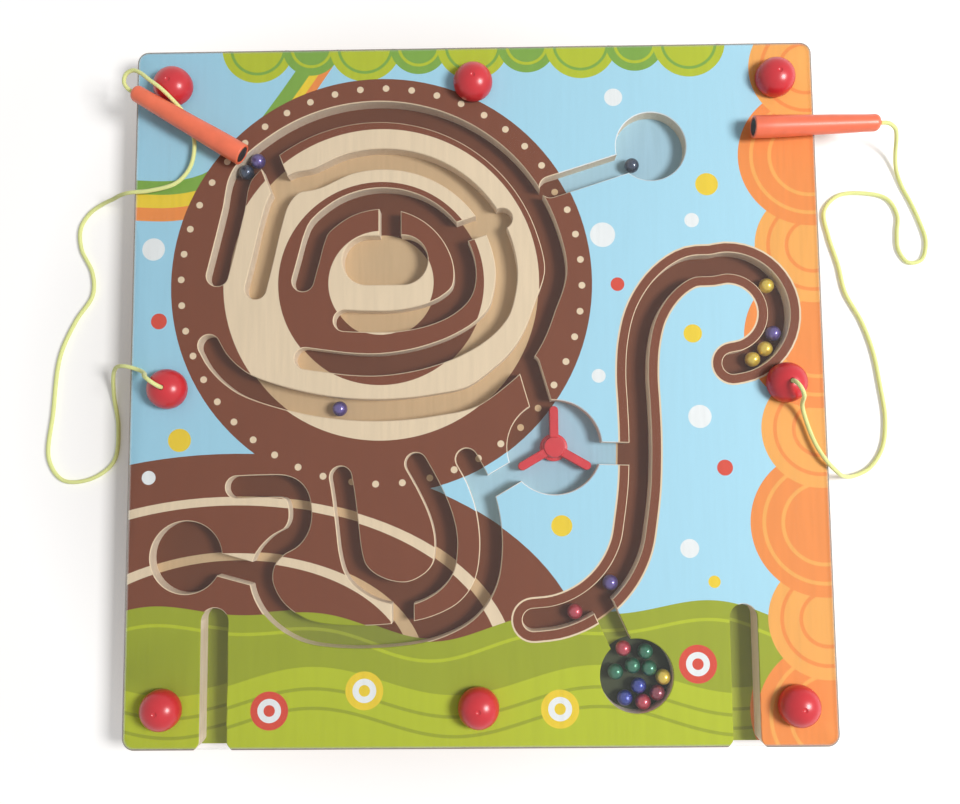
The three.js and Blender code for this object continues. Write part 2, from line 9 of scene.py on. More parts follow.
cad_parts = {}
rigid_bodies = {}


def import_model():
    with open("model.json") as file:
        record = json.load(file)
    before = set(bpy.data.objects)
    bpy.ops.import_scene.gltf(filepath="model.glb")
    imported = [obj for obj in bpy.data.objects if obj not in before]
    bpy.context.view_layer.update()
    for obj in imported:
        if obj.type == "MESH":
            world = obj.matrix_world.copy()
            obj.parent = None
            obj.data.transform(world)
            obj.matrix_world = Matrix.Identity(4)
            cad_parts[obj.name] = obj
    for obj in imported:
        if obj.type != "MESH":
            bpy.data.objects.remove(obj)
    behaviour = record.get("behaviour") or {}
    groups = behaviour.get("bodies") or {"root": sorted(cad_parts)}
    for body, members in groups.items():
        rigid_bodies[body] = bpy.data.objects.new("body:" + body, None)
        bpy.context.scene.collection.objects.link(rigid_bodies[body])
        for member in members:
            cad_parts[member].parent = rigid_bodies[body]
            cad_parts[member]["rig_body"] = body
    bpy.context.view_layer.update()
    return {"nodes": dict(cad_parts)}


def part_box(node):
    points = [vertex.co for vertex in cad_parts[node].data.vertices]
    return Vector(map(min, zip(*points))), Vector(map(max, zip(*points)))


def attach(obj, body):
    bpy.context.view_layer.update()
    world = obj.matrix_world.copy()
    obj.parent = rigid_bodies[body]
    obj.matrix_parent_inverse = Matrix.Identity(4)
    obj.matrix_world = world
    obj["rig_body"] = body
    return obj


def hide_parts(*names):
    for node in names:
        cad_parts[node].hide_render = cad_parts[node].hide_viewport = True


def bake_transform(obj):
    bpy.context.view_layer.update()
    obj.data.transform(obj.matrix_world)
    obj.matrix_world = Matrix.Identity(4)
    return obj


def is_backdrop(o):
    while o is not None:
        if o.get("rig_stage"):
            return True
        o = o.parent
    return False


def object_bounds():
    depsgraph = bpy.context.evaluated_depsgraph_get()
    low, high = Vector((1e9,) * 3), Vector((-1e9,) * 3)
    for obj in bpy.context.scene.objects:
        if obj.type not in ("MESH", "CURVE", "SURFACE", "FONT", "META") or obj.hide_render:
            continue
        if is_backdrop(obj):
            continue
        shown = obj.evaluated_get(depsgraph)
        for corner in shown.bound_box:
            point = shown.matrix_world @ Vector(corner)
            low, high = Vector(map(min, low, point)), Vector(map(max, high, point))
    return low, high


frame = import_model()
scene = bpy.context.scene
scene.view_settings.view_transform = "Standard"

MM = 0.001

# Sizes in millimetres, the same as in the solids
BOARD_WIDTH = 300.0
BOARD_LENGTH = 304.0
BOARD_THICKNESS = 15.0
BOARD_CORNER_RADIUS = 5.0
GROOVE_WIDTH = 9.4
GROOVE_FLOOR = 7.5
SLOT_FLOOR = 4.6
SLOT_WIDTH = 11.6
SLOT_LENGTH = 58.7
SLOT_OFFSET_X = 111.7
SLOT_MOUTH_FLARE = 2.2
SLOT_MOUTH_LENGTH = 3.5
SLOT_OVERRUN = 2.0
COVER_TOP = 16.55
PEG_SEAT = 16.6
PEG_X = 132.7
PEG_Y = 134.7
PEG_HEAD_RADIUS = 8.6
PEG_HEAD_HEIGHT = 9.0
PEG_RIM_HEIGHT = 1.6
PEG_STEM_RADIUS = 3.0
PEG_HOLE_RADIUS = 3.1
PEG_HOLE_FLOOR = 6.0
CORD_DIAMETER = 1.8
CORD_HOLE_RADIUS = 1.2
CORD_HOLE_DEPTH = 6.5
REST_GAP = 0.3
PEN_LENGTH = 55.0
PEN_MAGNET_END_RADIUS = 4.8
PEN_WAIST_RADIUS = 4.2
PEN_CORD_END_RADIUS = 3.7
PEN_GRIP_LENGTH = 8.0
PEN_WAIST_AT = 32.0
PEN_EDGE_ROUND = 0.5
PEN_CORD_END_ROUND = 2.4
PEN_PROP_AT = 29.0
MAGNET_RADIUS = 3.4
MAGNET_LENGTH = 5.0
BEAD_RADIUS = 3.3
SPINNER_ARM_COUNT = 3
SPINNER_ARM_REACH = 17.8
SPINNER_ARM_WIDTH = 3.8
SPINNER_HUB_RADIUS = 4.5
SPINNER_FLANGE_RADIUS = 6.0
SPINNER_BOTTOM = 0.2
SPINNER_FLANGE_TOP = 2.4
SPINNER_TOP = 6.8

# Thin trim that the solids leave out or have plainer, in millimetres
RIM = 0.35
EDGE_RIM = 0.7
COVER_BEVEL = 0.7
PEG_EDGE_ROUND = 0.4
PEG_DIMPLE_RADIUS = 1.1
PEG_DIMPLE_DEPTH = 0.5
BORE_CHAMFER = 0.2
MAGNET_EDGE_ROUND = 0.3
SPINNER_ROUND = 0.2
SPINNER_ARM_TOP = 6.08
# Rounded edges of the spinner: how far a layer draws in, and how far it lies from the top or bottom
HUB_CROWN = ((0.0, 0.5), (0.3, 0.05), (0.9, 0.0))
ARM_FOOT = ((0.3, 0.05), (0.0, 0.3))
ARM_CROWN = ((0.0, 0.38), (0.6, 0.0))

# Sides of the round pieces, points of their profiles, and the step along a cord in millimetres
PEG_SIDES = 48
PEN_SIDES = 40
MAGNET_SIDES = 36
BEAD_SIDES = 32
HUB_SIDES = 40
CORD_SIDES = 12
PEG_DOME_STEPS = 16
PEN_END_STEPS = 8
BEAD_PROFILE_POINTS = 21
CORD_STEP = 1.0

# Points of the outlines on the board
CIRCLE_SIDES = 72
PEG_HOLE_SIDES = 28
MIDDLE_POCKET_STEPS = 32
SLOT_MOUTH_STEPS = 6
SLOT_END_POINTS = 24
TARGET_SIDES = 120
TARGET_DOT_SIDES = 16
DOT_SIDES = 32

# Lengths that count as nothing, in millimetres
TINY = 1e-6
SAME_POINT = 1e-4
SAME_CORNER = 0.01

# Pattern sizes in millimetres. Real fibres, flakes and moulded skins are a tenth of a millimetre or
# less, too fine to show, so each is drawn as coarse as it needs to. A stretch lengthens a fibre.
INK_FIBRE = 1.8
INK_FIBRE_STRETCH = 14.0
WOOD_FIBRE = 0.7
WOOD_FIBRE_STRETCH = 18.0
PLASTIC_FLOW = 6.0
PLASTIC_SKIN = 0.7
LACQUER_FLAKE = 0.5
ACRYLIC_HAZE = 9.0
METAL_SPECKLE = 0.5
# Strands that run each way round a cord, few and broad so that the braid shows
CORD_STRANDS = 6

# Circles that the curved grooves follow: centre x, centre y, radius
OUTER_RING = (-42.5, 45.0, 78.0)
MIDDLE_RING = (-40.5, 47.0, 54.5)
INNER_RING = (-40.5, 47.0, 36.6)
LOWER_SWEEP = (-42.0, 140.2, 150.0)
HOOK = (109.5, 30.8, 22.0)
TRACK_BEND = (23.5, -55.3, 44.0)
CORNER_POCKET = (78.0, 105.5, 15.4)
SIDE_POCKET = (-124.3, -72.0, 15.4)
BEAD_BOWL = (66.3, -122.7, 15.4)
SPINNER_POCKET = (33.5, -26.5, 20.3)

# Printed design: places and sizes on the board's face in millimetres, from the back forward
PRINT_BLEED = 4.0
RIBBON_BENDS = ((0, 84), (44, 92), (96, 162))
RIBBON_OFFSETS = ((-6, "orange"), (0, "yellow"), (6, "leaf_green"))
RIBBON_WIDTH = 6.2
HILL_FOOT = (-104, -120)
HILL_HALF_WIDTH = 150
HILL_HEIGHT = 92
HILL_BANDS = ((1.0, "brown"), (0.8, "cream"), (0.76, "brown"), (0.54, "cream"), (0.5, "brown"))
# A ground's ink, the ink of its contour lines, its height, its waves and how far down the lines lie
GROUNDS = (
    ("green", "light_green", -99, ((6, 190, 30), (3, 83, 0)), (8,)),
    ("light_green", "green", -124, ((6, 120, 20),), (9, 17)),
)
CONTOUR_WIDTH = 1.4
SIDE_SCALLOP_COUNT = 8
SIDE_SCALLOP_X = 147
SIDE_SCALLOP_START = -140
SIDE_SCALLOP_PITCH = 40
SIDE_SCALLOP_RADII = (31, 25)
SIDE_SCALLOP_LINES = ((5, 6.6), (13, 14.6))
TOP_SCALLOP_COUNT = 9
TOP_SCALLOP_Y = 153
TOP_SCALLOP_START = -96
TOP_SCALLOP_PITCH = 24
TOP_SCALLOP_RADII = (16, 13)
TOP_SCALLOP_LINES = ((3.5, 4.8),)
TARGET_CENTRE = (-41, 46)
TARGET_BANDS = ((92, "brown"), (69, "cream"), (45, "brown"), (23, "cream"))
TARGET_BORDER = (*TARGET_CENTRE, 87.6)
TARGET_BORDER_DOTS = 48
TARGET_DOT_START = 6
TARGET_DOT_RADIUS = 1.5
TRACK_BANDS = ((19, "cream"), (17.5, "brown"))
DOTS = (
    (-141, 62, 5, "white"), (-138, 30, 3.5, "red"), (-128, -22, 5, "yellow"),
    (-141, -38, 3, "white"), (102, 88, 5, "yellow"), (56, 66, 5.5, "white"),
    (62, 44, 3, "red"), (95, 72, 3.2, "white"), (94, 22, 4, "yellow"), (53, 4, 3, "white"),
    (96, -14, 5, "white"), (106, -36, 3.4, "red"), (36, -60, 4.5, "yellow"),
    (90, -70, 4, "white"), (100, -84, 2.6, "yellow"), (62, 128, 4, "white"),
)
ROSETTES = ((-88, -136, "red"), (-48, -128, "yellow"), (34, -136, "yellow"), (92, -118, "red"))
# Radius and sides of a rosette's disc, ring and eye
ROSETTE_CIRCLES = ((8, 40), (5, 32), (2.4, 24))

# Camera, fitted to the photograph: millimetres, and turns about x, y and z in degrees
CAMERA_PLACE = (6.52, -40.02, 401.25)
CAMERA_ANGLES = (4.911, 0.757, -0.549)
CAMERA_LENS = 33.75
CAMERA_SENSOR = 36.0

# Floor and light in metres and watts. A fill is its nearest and farthest reach and its strength at each.
# The first fill is weak close to the board, which paints shade on the floor round it
FLOOR_HALF = 4.0
FLOOR_DROP = 0.0001
FLOOR_GLOW_AND_NEAR_SHADE = ((0.15, 0.21, 0.08, 0.29), (0.25, 0.9, 0.0, 0.55))
SURROUND_LIGHT = 0.3
KEY_PLACE = (0.81, -0.04, 1.01)
KEY_SIZE = 0.36
KEY_WATTS = 13.6


def arc(circle, start, stop, count):
    """Points on a circle from one angle to another, in degrees."""
    x, y, radius = circle
    points = []
    for i in range(count):
        angle = math.radians(start + (stop - start) * i / (count - 1))
        points.append((x + radius * math.cos(angle), y + radius * math.sin(angle)))
    return points


OUTER_SPIRAL = [
    (-112.8, 50), (-109.2, 65), (-106, 79),
    *arc(OUTER_RING, 140, 4, 11),
    (30.2, 34), (25.4, 22), (19.5, 12.8), (11.5, 5),
    *arc(LOWER_SWEEP, -74.5, -112, 7),
    (-106.5, 6.6), (-112.3, 12.8), (-116, 19.2),
]
MIDDLE_SPIRAL = [
    (-96, 44), (-92.7, 58), (-89.6, 72), (-86, 83.5), (-79.5, 90.8),
    *arc(MIDDLE_RING, 122, 4, 8),
    (11.8, 36.5), (8, 29.5), (1.5, 23.5), (-6, 19), (-14, 15.5),
    (-26, 12), (-40, 10), (-53, 10.2), (-66, 11.8), (-74, 13),
]
INNER_SPIRAL = [
    (-75.2, 47.2), (-72.6, 57), (-70.2, 66),
    *arc(INNER_RING, 136, 12, 7),
    (-5.2, 43), (-11.5, 36), (-22, 31.3), (-35, 29), (-48, 29), (-57, 29.5),
]
LOWER_LOOP = [
    (-4.3, -31.3), (0.3, -40), (4, -51), (5.7, -62), (5.7, -72), (4, -82), (0, -90),
    (-6.5, -96.5), (-16, -101.3), (-26, -104), (-40, -105.5), (-55, -105.7), (-70, -104),
    (-80, -99.5), (-87.5, -92.5), (-91.8, -83), (-90.8, -74), (-85.5, -67.5), (-79, -63.5),
    (-75.8, -57.5), (-75.8, -50), (-78, -44.8), (-83, -42.2), (-93, -42), (-103, -42.3),
]
INNER_LOOP = [
    (-26, -33), (-20.5, -43), (-16, -53), (-13.6, -62), (-13.3, -70), (-15, -78),
    (-20.5, -84), (-29, -87.7), (-38, -87), (-46, -83.5), (-51.5, -78), (-54, -70),
    (-55.5, -58), (-57, -46), (-58.3, -38.5),
]
HOOK_TRACK = [
    *arc(TRACK_BEND, -90, -5, 8),
    (69.3, -45), (70.1, -32), (70.3, -20), (70, -8), (69.6, 4), (70.5, 17),
    (73.5, 29.5), (79, 39.5), (86, 46.8), (94, 51.2),
    *arc(HOOK, 107, -86, 13),
]
LINKS = [
    [(-85, 88), (-90.5, 102)],
    [(-6, 68), (12, 74)],
    [(-37, 83), (-37, 60)],
    [(33.5, 87.7), (70, 99.2)],
    [(23, 9), (29, -12)],
    [(45, -29), (69.5, -29.8)],
    [(20, -35), (3.5, -44.5)],
    [(-31.8, -88), (-31.8, -104)],
    [(-112, -74.5), (-92, -80)],
    [(53, -94), (61.5, -113)],
]
MIDDLE_POCKET_ROUTE = [(-47, 56), (-31.5, 56)]
MIDDLE_POCKET_WIDTH = 22.0
ROUTES = [OUTER_SPIRAL, MIDDLE_SPIRAL, INNER_SPIRAL, LOWER_LOOP, INNER_LOOP, HOOK_TRACK, *LINKS]

# Cord routes from the pen to the peg, in millimetres
CORD_LEFT_ROUTE = [
    (-148.4, 129.95, 23.3), (-150.4, 131.2, 23.4), (-152.2, 134.1, 23.9), (-151.1, 137.5, 24.6),
    (-147.8, 138.8, 25.4), (-144.2, 137.2, 26.3), (-139.8, 133.6, 27), (-135.2, 130.2, 26.3),
    (-131.2, 126.5, 23), (-127.9, 122.7, 19.2), (-125.2, 117.5, 17.8), (-122.9, 108.6, 17.8),
    (-124.6, 97.9, 17.8), (-130.6, 90.9, 17.8), (-142, 87.6, 17.8), (-151.6, 87, 17.1),
    (-157.2, 87.2, 13), (-163, 87.4, 7), (-169.4, 86.5, 2.8), (-175.8, 82.8, 1.2), (-179.9, 76, 1),
    (-179.4, 66.5, 1), (-174, 55, 1), (-173.6, 45, 1), (-181, 33, 1), (-187.6, 17, 1),
    (-190, -8, 1), (-191.2, -29.5, 1), (-184.6, -38.6, 1), (-172.4, -38.2, 1), (-162.2, -30.7, 1),
    (-160.4, -15, 1.1), (-162.4, -1, 1.9), (-159.6, 9, 9), (-152.6, 10.3, 17.2),
    (-144.6, 8.2, 18.6), (-140.4, 5.8, 23.4), (-139.2, 4.9, 27.6), (-137.2, 3.4, 29.8),
    (-134.9, 1.65, 29.8), (-133.2, 0.4, 27.8), (-132.7, 0, 24.6), (-132.7, 0, 19.7),
]
CORD_RIGHT_ROUTE = [
    (176.9, 112.45, 20.5), (180.2, 112.4, 20.2), (184.4, 111.2, 17.2), (187.4, 108.8, 11.4),
    (189.4, 104.6, 5.4), (190.9, 98.2, 1.9), (193.4, 90.6, 1), (197, 83, 1), (200.6, 74, 1),
    (203, 64.6, 1), (200.6, 56.4, 1), (194.6, 55.4, 1), (190.6, 61, 1), (190.2, 68.5, 1),
    (190.8, 77, 1), (186.6, 84.6, 1), (176.5, 87.4, 1), (164.5, 86.4, 1), (158, 79.4, 1),
    (159.4, 68, 1), (163.2, 54.5, 1), (165.8, 42, 1), (172.6, 28.5, 1), (177, 15, 1), (179.4, 0, 1),
    (181, -15, 1), (179, -28, 1), (173, -36.6, 1.2), (165.6, -40, 2.4), (159, -40.2, 8.2),
    (153.6, -38.4, 15.2), (148.4, -34, 18.1), (143.8, -26.4, 17.9), (140.2, -16.6, 18),
    (138, -10.4, 20.4), (137.1, -8.2, 24.4), (136.5, -7, 27.6), (135.4, -5, 29.8),
    (134, -2.4, 29.8), (133, -0.6, 27.8), (132.7, 0, 24.6), (132.7, 0, 19.7),
]


# Sockets of a colour mix node, which share their names with those for other kinds of value
MIX_A = 6
MIX_B = 7
MIX_RESULT = 2


def linear(hex_colour):
    """An sRGB hex colour as linear RGBA."""
    channels = []
    for i in (0, 2, 4):
        c = int(hex_colour[i:i + 2], 16) / 255
        channels.append(c / 12.92 if c <= 0.04045 else ((c + 0.055) / 1.055) ** 2.4)
    return (*channels, 1.0)


def add_node(tree, kind, settings=None, **inputs):
    """Adds a shader node; an input is a value or another node's output socket, i0 is input number 0."""
    node = tree.nodes.new(kind)
    for name, value in (settings or {}).items():
        setattr(node, name, value)
    for name, value in inputs.items():
        key = int(name[1:]) if name[1:].isdigit() else name.replace("_", " ")
        socket = node.inputs[key]
        if isinstance(value, bpy.types.NodeSocket):
            tree.links.new(value, socket)
        else:
            socket.default_value = value
    return node


def new_material(name):
    """An empty node material and its tree."""
    material = bpy.data.materials.new(name)
    material.use_nodes = True
    material.node_tree.nodes.clear()
    return material, material.node_tree


def surface(tree, **inputs):
    """A principled surface on the material's output."""
    shader = add_node(tree, "ShaderNodeBsdfPrincipled", None, **inputs)
    add_node(tree, "ShaderNodeOutputMaterial", None, Surface=shader.outputs[0])


def grain(tree, along, size_mm, stretch):
    """Noise in object space, drawn out along one axis: returns its factor socket."""
    place = add_node(tree, "ShaderNodeTexCoord")
    scale = [1 / (size_mm * MM)] * 3
    scale["XYZ".index(along)] /= stretch
    mapping = add_node(tree, "ShaderNodeMapping", None, Vector=place.outputs["Object"], Scale=scale)
    noise = add_node(tree, "ShaderNodeTexNoise", None, Vector=mapping.outputs[0], Scale=1.0, Detail=2.0)
    return noise.outputs["Fac"]


def shade_between(tree, factor, dark, light, low=0.3, high=0.7):
    """A colour that runs from dark to light as a factor goes from low to high."""
    spread = add_node(tree, "ShaderNodeMapRange", None, Value=factor, From_Min=low, From_Max=high)
    mix = add_node(tree, "ShaderNodeMix", {"data_type": "RGBA"}, Factor=spread.outputs[0])
    mix.inputs[MIX_A].default_value = dark
    mix.inputs[MIX_B].default_value = light
    return mix.outputs[MIX_RESULT]


def bump(tree, height, depth_mm, strength=0.5):
    """A bump normal from a height factor."""
    depth = depth_mm * MM
    node = add_node(tree, "ShaderNodeBump", None, Height=height, Distance=depth, Strength=strength)
    return node.outputs[0]


def darker(colour, share):
    """A linear colour at a share of its brightness."""
    return (*[c * share for c in colour[:3]], 1.0)


def ink_surface(tree, colour, fibre):
    """Matt ink on wood, with the fibres just raised under it."""
    normal = bump(tree, fibre, 0.03, 0.2)
    surface(tree, Base_Color=colour, Roughness=0.5, Specular_IOR_Level=0.08, Normal=normal)


def print_material(name, hex_colour):
    """Ink printed on the wood: the grain shows faintly through it."""
    material, tree = new_material(name)
    fibre = grain(tree, "Y", INK_FIBRE, INK_FIBRE_STRETCH)
    ink = linear(hex_colour)
    ink_surface(tree, shade_between(tree, fibre, darker(ink, 0.93), ink), fibre)
    return material


def sky_material():
    """Sky-blue ink with painted light: it pales towards the right-hand edge, on the lamp's side."""
    material, tree = new_material("print_sky_painted_light")
    fibre = grain(tree, "Y", INK_FIBRE, INK_FIBRE_STRETCH)
    place = add_node(tree, "ShaderNodeTexCoord")
    axes = add_node(tree, "ShaderNodeSeparateXYZ", None, Vector=place.outputs["Object"])
    edge_x = BOARD_WIDTH / 2 * MM
    # Painted light: the blue is paler towards the right-hand edge, where the lamp is.
    blue = shade_between(tree, axes.outputs["X"], linear("A6DAF0"), linear("B2E4F7"), -edge_x, edge_x)
    multiply = {"data_type": "RGBA", "blend_type": "MULTIPLY"}
    shaded = add_node(tree, "ShaderNodeMix", multiply, Factor=0.06)
    tree.links.new(blue, shaded.inputs[MIX_A])
    tree.links.new(fibre, shaded.inputs[MIX_B])
    ink_surface(tree, shaded.outputs[MIX_RESULT], fibre)
    return material


def wood_material(name, dark, light):
    """Bare routed wood with a fine straight grain."""
    material, tree = new_material(name)
    fibre = grain(tree, "Y", WOOD_FIBRE, WOOD_FIBRE_STRETCH)
    surface(
        tree,
        Base_Color=shade_between(tree, fibre, linear(dark), linear(light)),
        Roughness=0.65,
        Normal=bump(tree, fibre, 0.08),
    )
    return material


def plastic_material(name, hex_colour, roughness):
    """Moulded plastic with a faint flow variation and a fine texture."""
    material, tree = new_material(name)
    flow = grain(tree, "Z", PLASTIC_FLOW, 1.0)
    skin = grain(tree, "Z", PLASTIC_SKIN, 1.0)
    colour = linear(hex_colour)
    surface(
        tree,
        Base_Color=shade_between(tree, flow, darker(colour, 0.9), colour),
        Roughness=roughness,
        Coat_Weight=0.15,
        Coat_Roughness=0.2,
        Normal=bump(tree, skin, 0.02, 0.25),
    )
    return material


def bead_material(name, hex_colour):
    """Steel ball under a coloured metallic lacquer."""
    material, tree = new_material(name)
    flake = grain(tree, "Z", LACQUER_FLAKE, 1.0)
    colour = linear(hex_colour)
    surface(
        tree,
        Base_Color=shade_between(tree, flake, darker(colour, 0.86), colour),
        Metallic=0.45,
        Roughness=0.28,
        Coat_Weight=0.8,
        Coat_Roughness=0.06,
    )
    return material


def acrylic_material(name, hex_colour, cover):
    """Polished sheet with a slight haze of handling; its bevelled edge is drawn less clear, a painted
    highlight for the light that the edge gathers.
    """
    material, tree = new_material(name)
    haze = grain(tree, "Z", ACRYLIC_HAZE, 1.0)
    rough = add_node(tree, "ShaderNodeMapRange", None, Value=haze, To_Min=0.04, To_Max=0.1)
    surface(
        tree,
        Base_Color=linear(hex_colour),
        Roughness=rough.outputs[0],
        Alpha=cover,
        Specular_IOR_Level=0.9,
    )
    return material


def metal_material(name, hex_colour, roughness, metallic):
    """Dull metal or sintered magnet with a fine speckle."""
    material, tree = new_material(name)
    speckle = grain(tree, "Z", METAL_SPECKLE, 1.0)
    colour = linear(hex_colour)
    surface(
        tree,
        Base_Color=shade_between(tree, speckle, darker(colour, 0.75), colour),
        Metallic=metallic,
        Roughness=roughness,
        Normal=bump(tree, speckle, 0.03),
    )
    return material


def cord_material():
    """Braided cord: two sets of strands cross round it, drawn from its own length and girth."""
    material, tree = new_material("braided_cord")
    place = add_node(tree, "ShaderNodeUVMap", {"uv_map": "girth"})
    strand = math.pi * CORD_DIAMETER / CORD_STRANDS
    # A diagonal wave of scale 1 repeats every 2 pi / 10 of its unit, which is a millimetre here
    wave_scale = 2 * math.pi / (10 * strand)
    strands = []
    for lean in (1.0, -1.0):
        mirror = (1.0, lean, 1.0)
        turn = add_node(tree, "ShaderNodeMapping", None, Vector=place.outputs[0], Scale=mirror)
        wave = add_node(
            tree, "ShaderNodeTexWave", {"bands_direction": "DIAGONAL"},
            Vector=turn.outputs[0], Scale=wave_scale, Distortion=0.4,
        )
        strands.append(wave.outputs["Fac"])
    braid = add_node(tree, "ShaderNodeMath", {"operation": "MAXIMUM"}, i0=strands[0], i1=strands[1])
    surface(
        tree,
        Base_Color=shade_between(tree, braid.outputs[0], linear("E0E97C"), linear("F8FDAE")),
        Roughness=0.8,
        Sheen_Weight=0.3,
        Normal=bump(tree, braid.outputs[0], 0.15, 0.7),
    )
    return material


def backdrop_rays(tree):
    """1 for the rays that show the backdrop: to the camera, in gloss and through clear pieces."""
    rays = add_node(tree, "ShaderNodeLightPath")
    shown = rays.outputs["Is Camera Ray"]
    for kind in ("Is Glossy Ray", "Is Transmission Ray"):
        larger = {"operation": "MAXIMUM"}
        either = add_node(tree, "ShaderNodeMath", larger, i0=shown, i1=rays.outputs[kind])
        shown = either.outputs[0]
    return shown


PRINT_AND_SHADE_INKS = {
    "brown": "814830",
    "cream": "EFD9B8",
    "green": "A3AE2A",
    "light_green": "BECA2C",
    "leaf_green": "84B046",
    "orange": "F8964A",
    "pale_orange": "FBB25A",
    "white": "F4F8F8",
    "yellow": "F6D638",
    "red": "E2523F",
    "dark_olive": "474C37",
    # Painted shade for the cut floors: each a tone deeper than the print that it continues
    "tan": "CFB28B",
    "brown_shade": "6E402A",
    "green_shade": "8C9536",
    "light_green_shade": "A6B03C",
    "shade_blue": "A7CCDD",
}
# Every finish of the board, in the order of its material slots
BOARD_FINISHES = ["sky", *PRINT_AND_SHADE_INKS, "bare_wood", "side_wood", "dark_edge_band"]
# Painted shade on the cut floors: each floor takes a tone deeper than the print about it, for the shade
# down in the cut
FLOOR_SHADE_INKS = {
    "sky": "shade_blue",
    "cream": "tan",
    "brown": "brown_shade",
    "green": "green_shade",
    "light_green": "light_green_shade",
}
# Ink of the thin line round a cut, where it differs from the ink about it: on the brown it is pale wood
# at the cut's edge and partly a painted highlight, in the sky and round the bead bowl it is a painted
# highlight
RIM_WOOD_AND_HIGHLIGHT_INKS = {"brown": "cream", "sky": "white", "dark_olive": "light_green"}
BEAD_COLOURS = {
    "violet": "5C4A90",
    "navy": "27364F",
    "yellow": "DDBE3E",
    "red": "B83648",
    "green": "1F6E50",
    "blue": "2C3C98",
    "maroon": "8A3245",
}
MATERIALS = {ink: print_material(f"print_{ink}", colour) for ink, colour in PRINT_AND_SHADE_INKS.items()}
MATERIALS["sky"] = sky_material()
MATERIALS["bare_wood"] = wood_material("bare_wood", "DCC7AC", "EDDEC8")
MATERIALS["side_wood"] = wood_material("side_wood", "B08C66", "C7A680")
# A dark band round the board's upper edge
MATERIALS["dark_edge_band"] = wood_material("dark_edge_band", "6A5442", "7E6650")
RED_PLASTIC = plastic_material("red_plastic", "D82E38", 0.3)
ORANGE_PLASTIC = plastic_material("orange_plastic", "FF7C58", 0.4)
FERRITE = metal_material("ferrite", "413D3D", 0.6, 0.3)
STEEL = metal_material("bright_steel", "B9BCC1", 0.3, 1.0)
ACRYLIC = acrylic_material("clear_acrylic", "F2F8FA", 0.02)
# Painted highlight: the cover's bevelled edge, drawn less clear than the sheet
ACRYLIC_EDGE_HIGHLIGHT = acrylic_material("clear_acrylic_edge_highlight", "EEF5F2", 0.2)
CORD = cord_material()


def new_piece(name, mesh, material, body, node):
    """A mesh object in place of a CAD node, riding on that node's body."""
    piece = bpy.data.objects.new(name, mesh)
    scene.collection.objects.link(piece)
    if material is not None:
        mesh.materials.append(material)
    if body is not None:
        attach(piece, body)
    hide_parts(node)
    return piece


def smooth(mesh, degrees):
    """Smooth shading, with edges sharper than an angle left crisp."""
    mesh.polygons.foreach_set("use_smooth", [True] * len(mesh.polygons))
    mesh.set_sharp_from_angle(angle=math.radians(degrees))


def spline(points, step):
    """Points about a step apart on the smooth line through 2-D points."""
    last = len(points) - 1
    line = []
    for i in range(last):
        before = points[max(i - 1, 0)]
        here = points[i]
        there = points[i + 1]
        after = points[min(i + 2, last)]
        count = max(1, round(math.dist(here, there) / step))
        for k in range(count):
            t = k / count
            line.append(tuple(
                hermite(here[a], there[a], (there[a] - before[a]) / 2, (after[a] - here[a]) / 2, t)
                for a in (0, 1)
            ))
    line.append(tuple(points[last]))
    return line


def hermite(start, end, slope_in, slope_out, t):
    """Cubic between two values with a slope at each."""
    a = 2 * start - 2 * end + slope_in + slope_out
    b = -3 * start + 3 * end - 2 * slope_in - slope_out
    return ((a * t + b) * t + slope_in) * t + start


def stroke(route, width, step=1.6, end_steps=14):
    """Outline of the band that a round cutter leaves along a route."""
    line = spline(route, step) if len(route) > 2 else route
    half = width / 2
    headings = []
    for i in range(len(line)):
        x0, y0 = line[max(i - 1, 0)]
        x1, y1 = line[min(i + 1, len(line) - 1)]
        headings.append(math.atan2(y1 - y0, x1 - x0))
    left = []
    right = []
    for (x, y), heading in zip(line, headings):
        dx = -math.sin(heading) * half
        dy = math.cos(heading) * half
        left.append((x - dx, y - dy))
        right.append((x + dx, y + dy))
    far = round_end(line[-1], headings[-1], half, end_steps)
    near = round_end(line[0], headings[0] + math.pi, half, end_steps)
    return left + far + right[::-1] + near


def round_end(centre, heading, half, steps):
    """Points of the half circle that closes a stroke, anticlockwise."""
    points = []
    for i in range(1, steps):
        angle = heading - math.pi / 2 + math.pi * i / steps
        points.append((centre[0] + half * math.cos(angle), centre[1] + half * math.sin(angle)))
    return points


def circle_outline(x, y, radius, count=CIRCLE_SIDES):
    """Outline of a circle, anticlockwise."""
    return [
        (x + radius * math.cos(2 * math.pi * i / count), y + radius * math.sin(2 * math.pi * i / count))
        for i in range(count)
    ]


def rounded_rectangle(width, length, radius, steps=10):
    """Outline with round corners, anticlockwise."""
    points = []
    for quarter, (sx, sy) in enumerate(((1, 1), (-1, 1), (-1, -1), (1, -1))):
        corner = (sx * (width / 2 - radius), sy * (length / 2 - radius), radius)
        points += arc(corner, 90 * quarter, 90 * quarter + 90, steps)
    return points


def slot_outline(centre_x, widen):
    """Pen slot: round inner end and a flared mouth past the lower edge."""
    half = SLOT_WIDTH / 2 + widen
    edge = -BOARD_LENGTH / 2
    round_y = edge + SLOT_LENGTH - SLOT_WIDTH / 2
    flare = [(half + SLOT_MOUTH_FLARE, edge - SLOT_OVERRUN)]
    for i in range(SLOT_MOUTH_STEPS + 1):
        t = i / SLOT_MOUTH_STEPS
        ease = 1 - math.sin(math.pi / 2 * t)
        flare.append((half + SLOT_MOUTH_FLARE * ease, edge + SLOT_MOUTH_LENGTH * t))
    right = [(centre_x + x, y) for x, y in flare]
    left = [(centre_x - x, y) for x, y in flare]
    return right + arc((centre_x, round_y, half), 0, 180, SLOT_END_POINTS) + left[::-1]


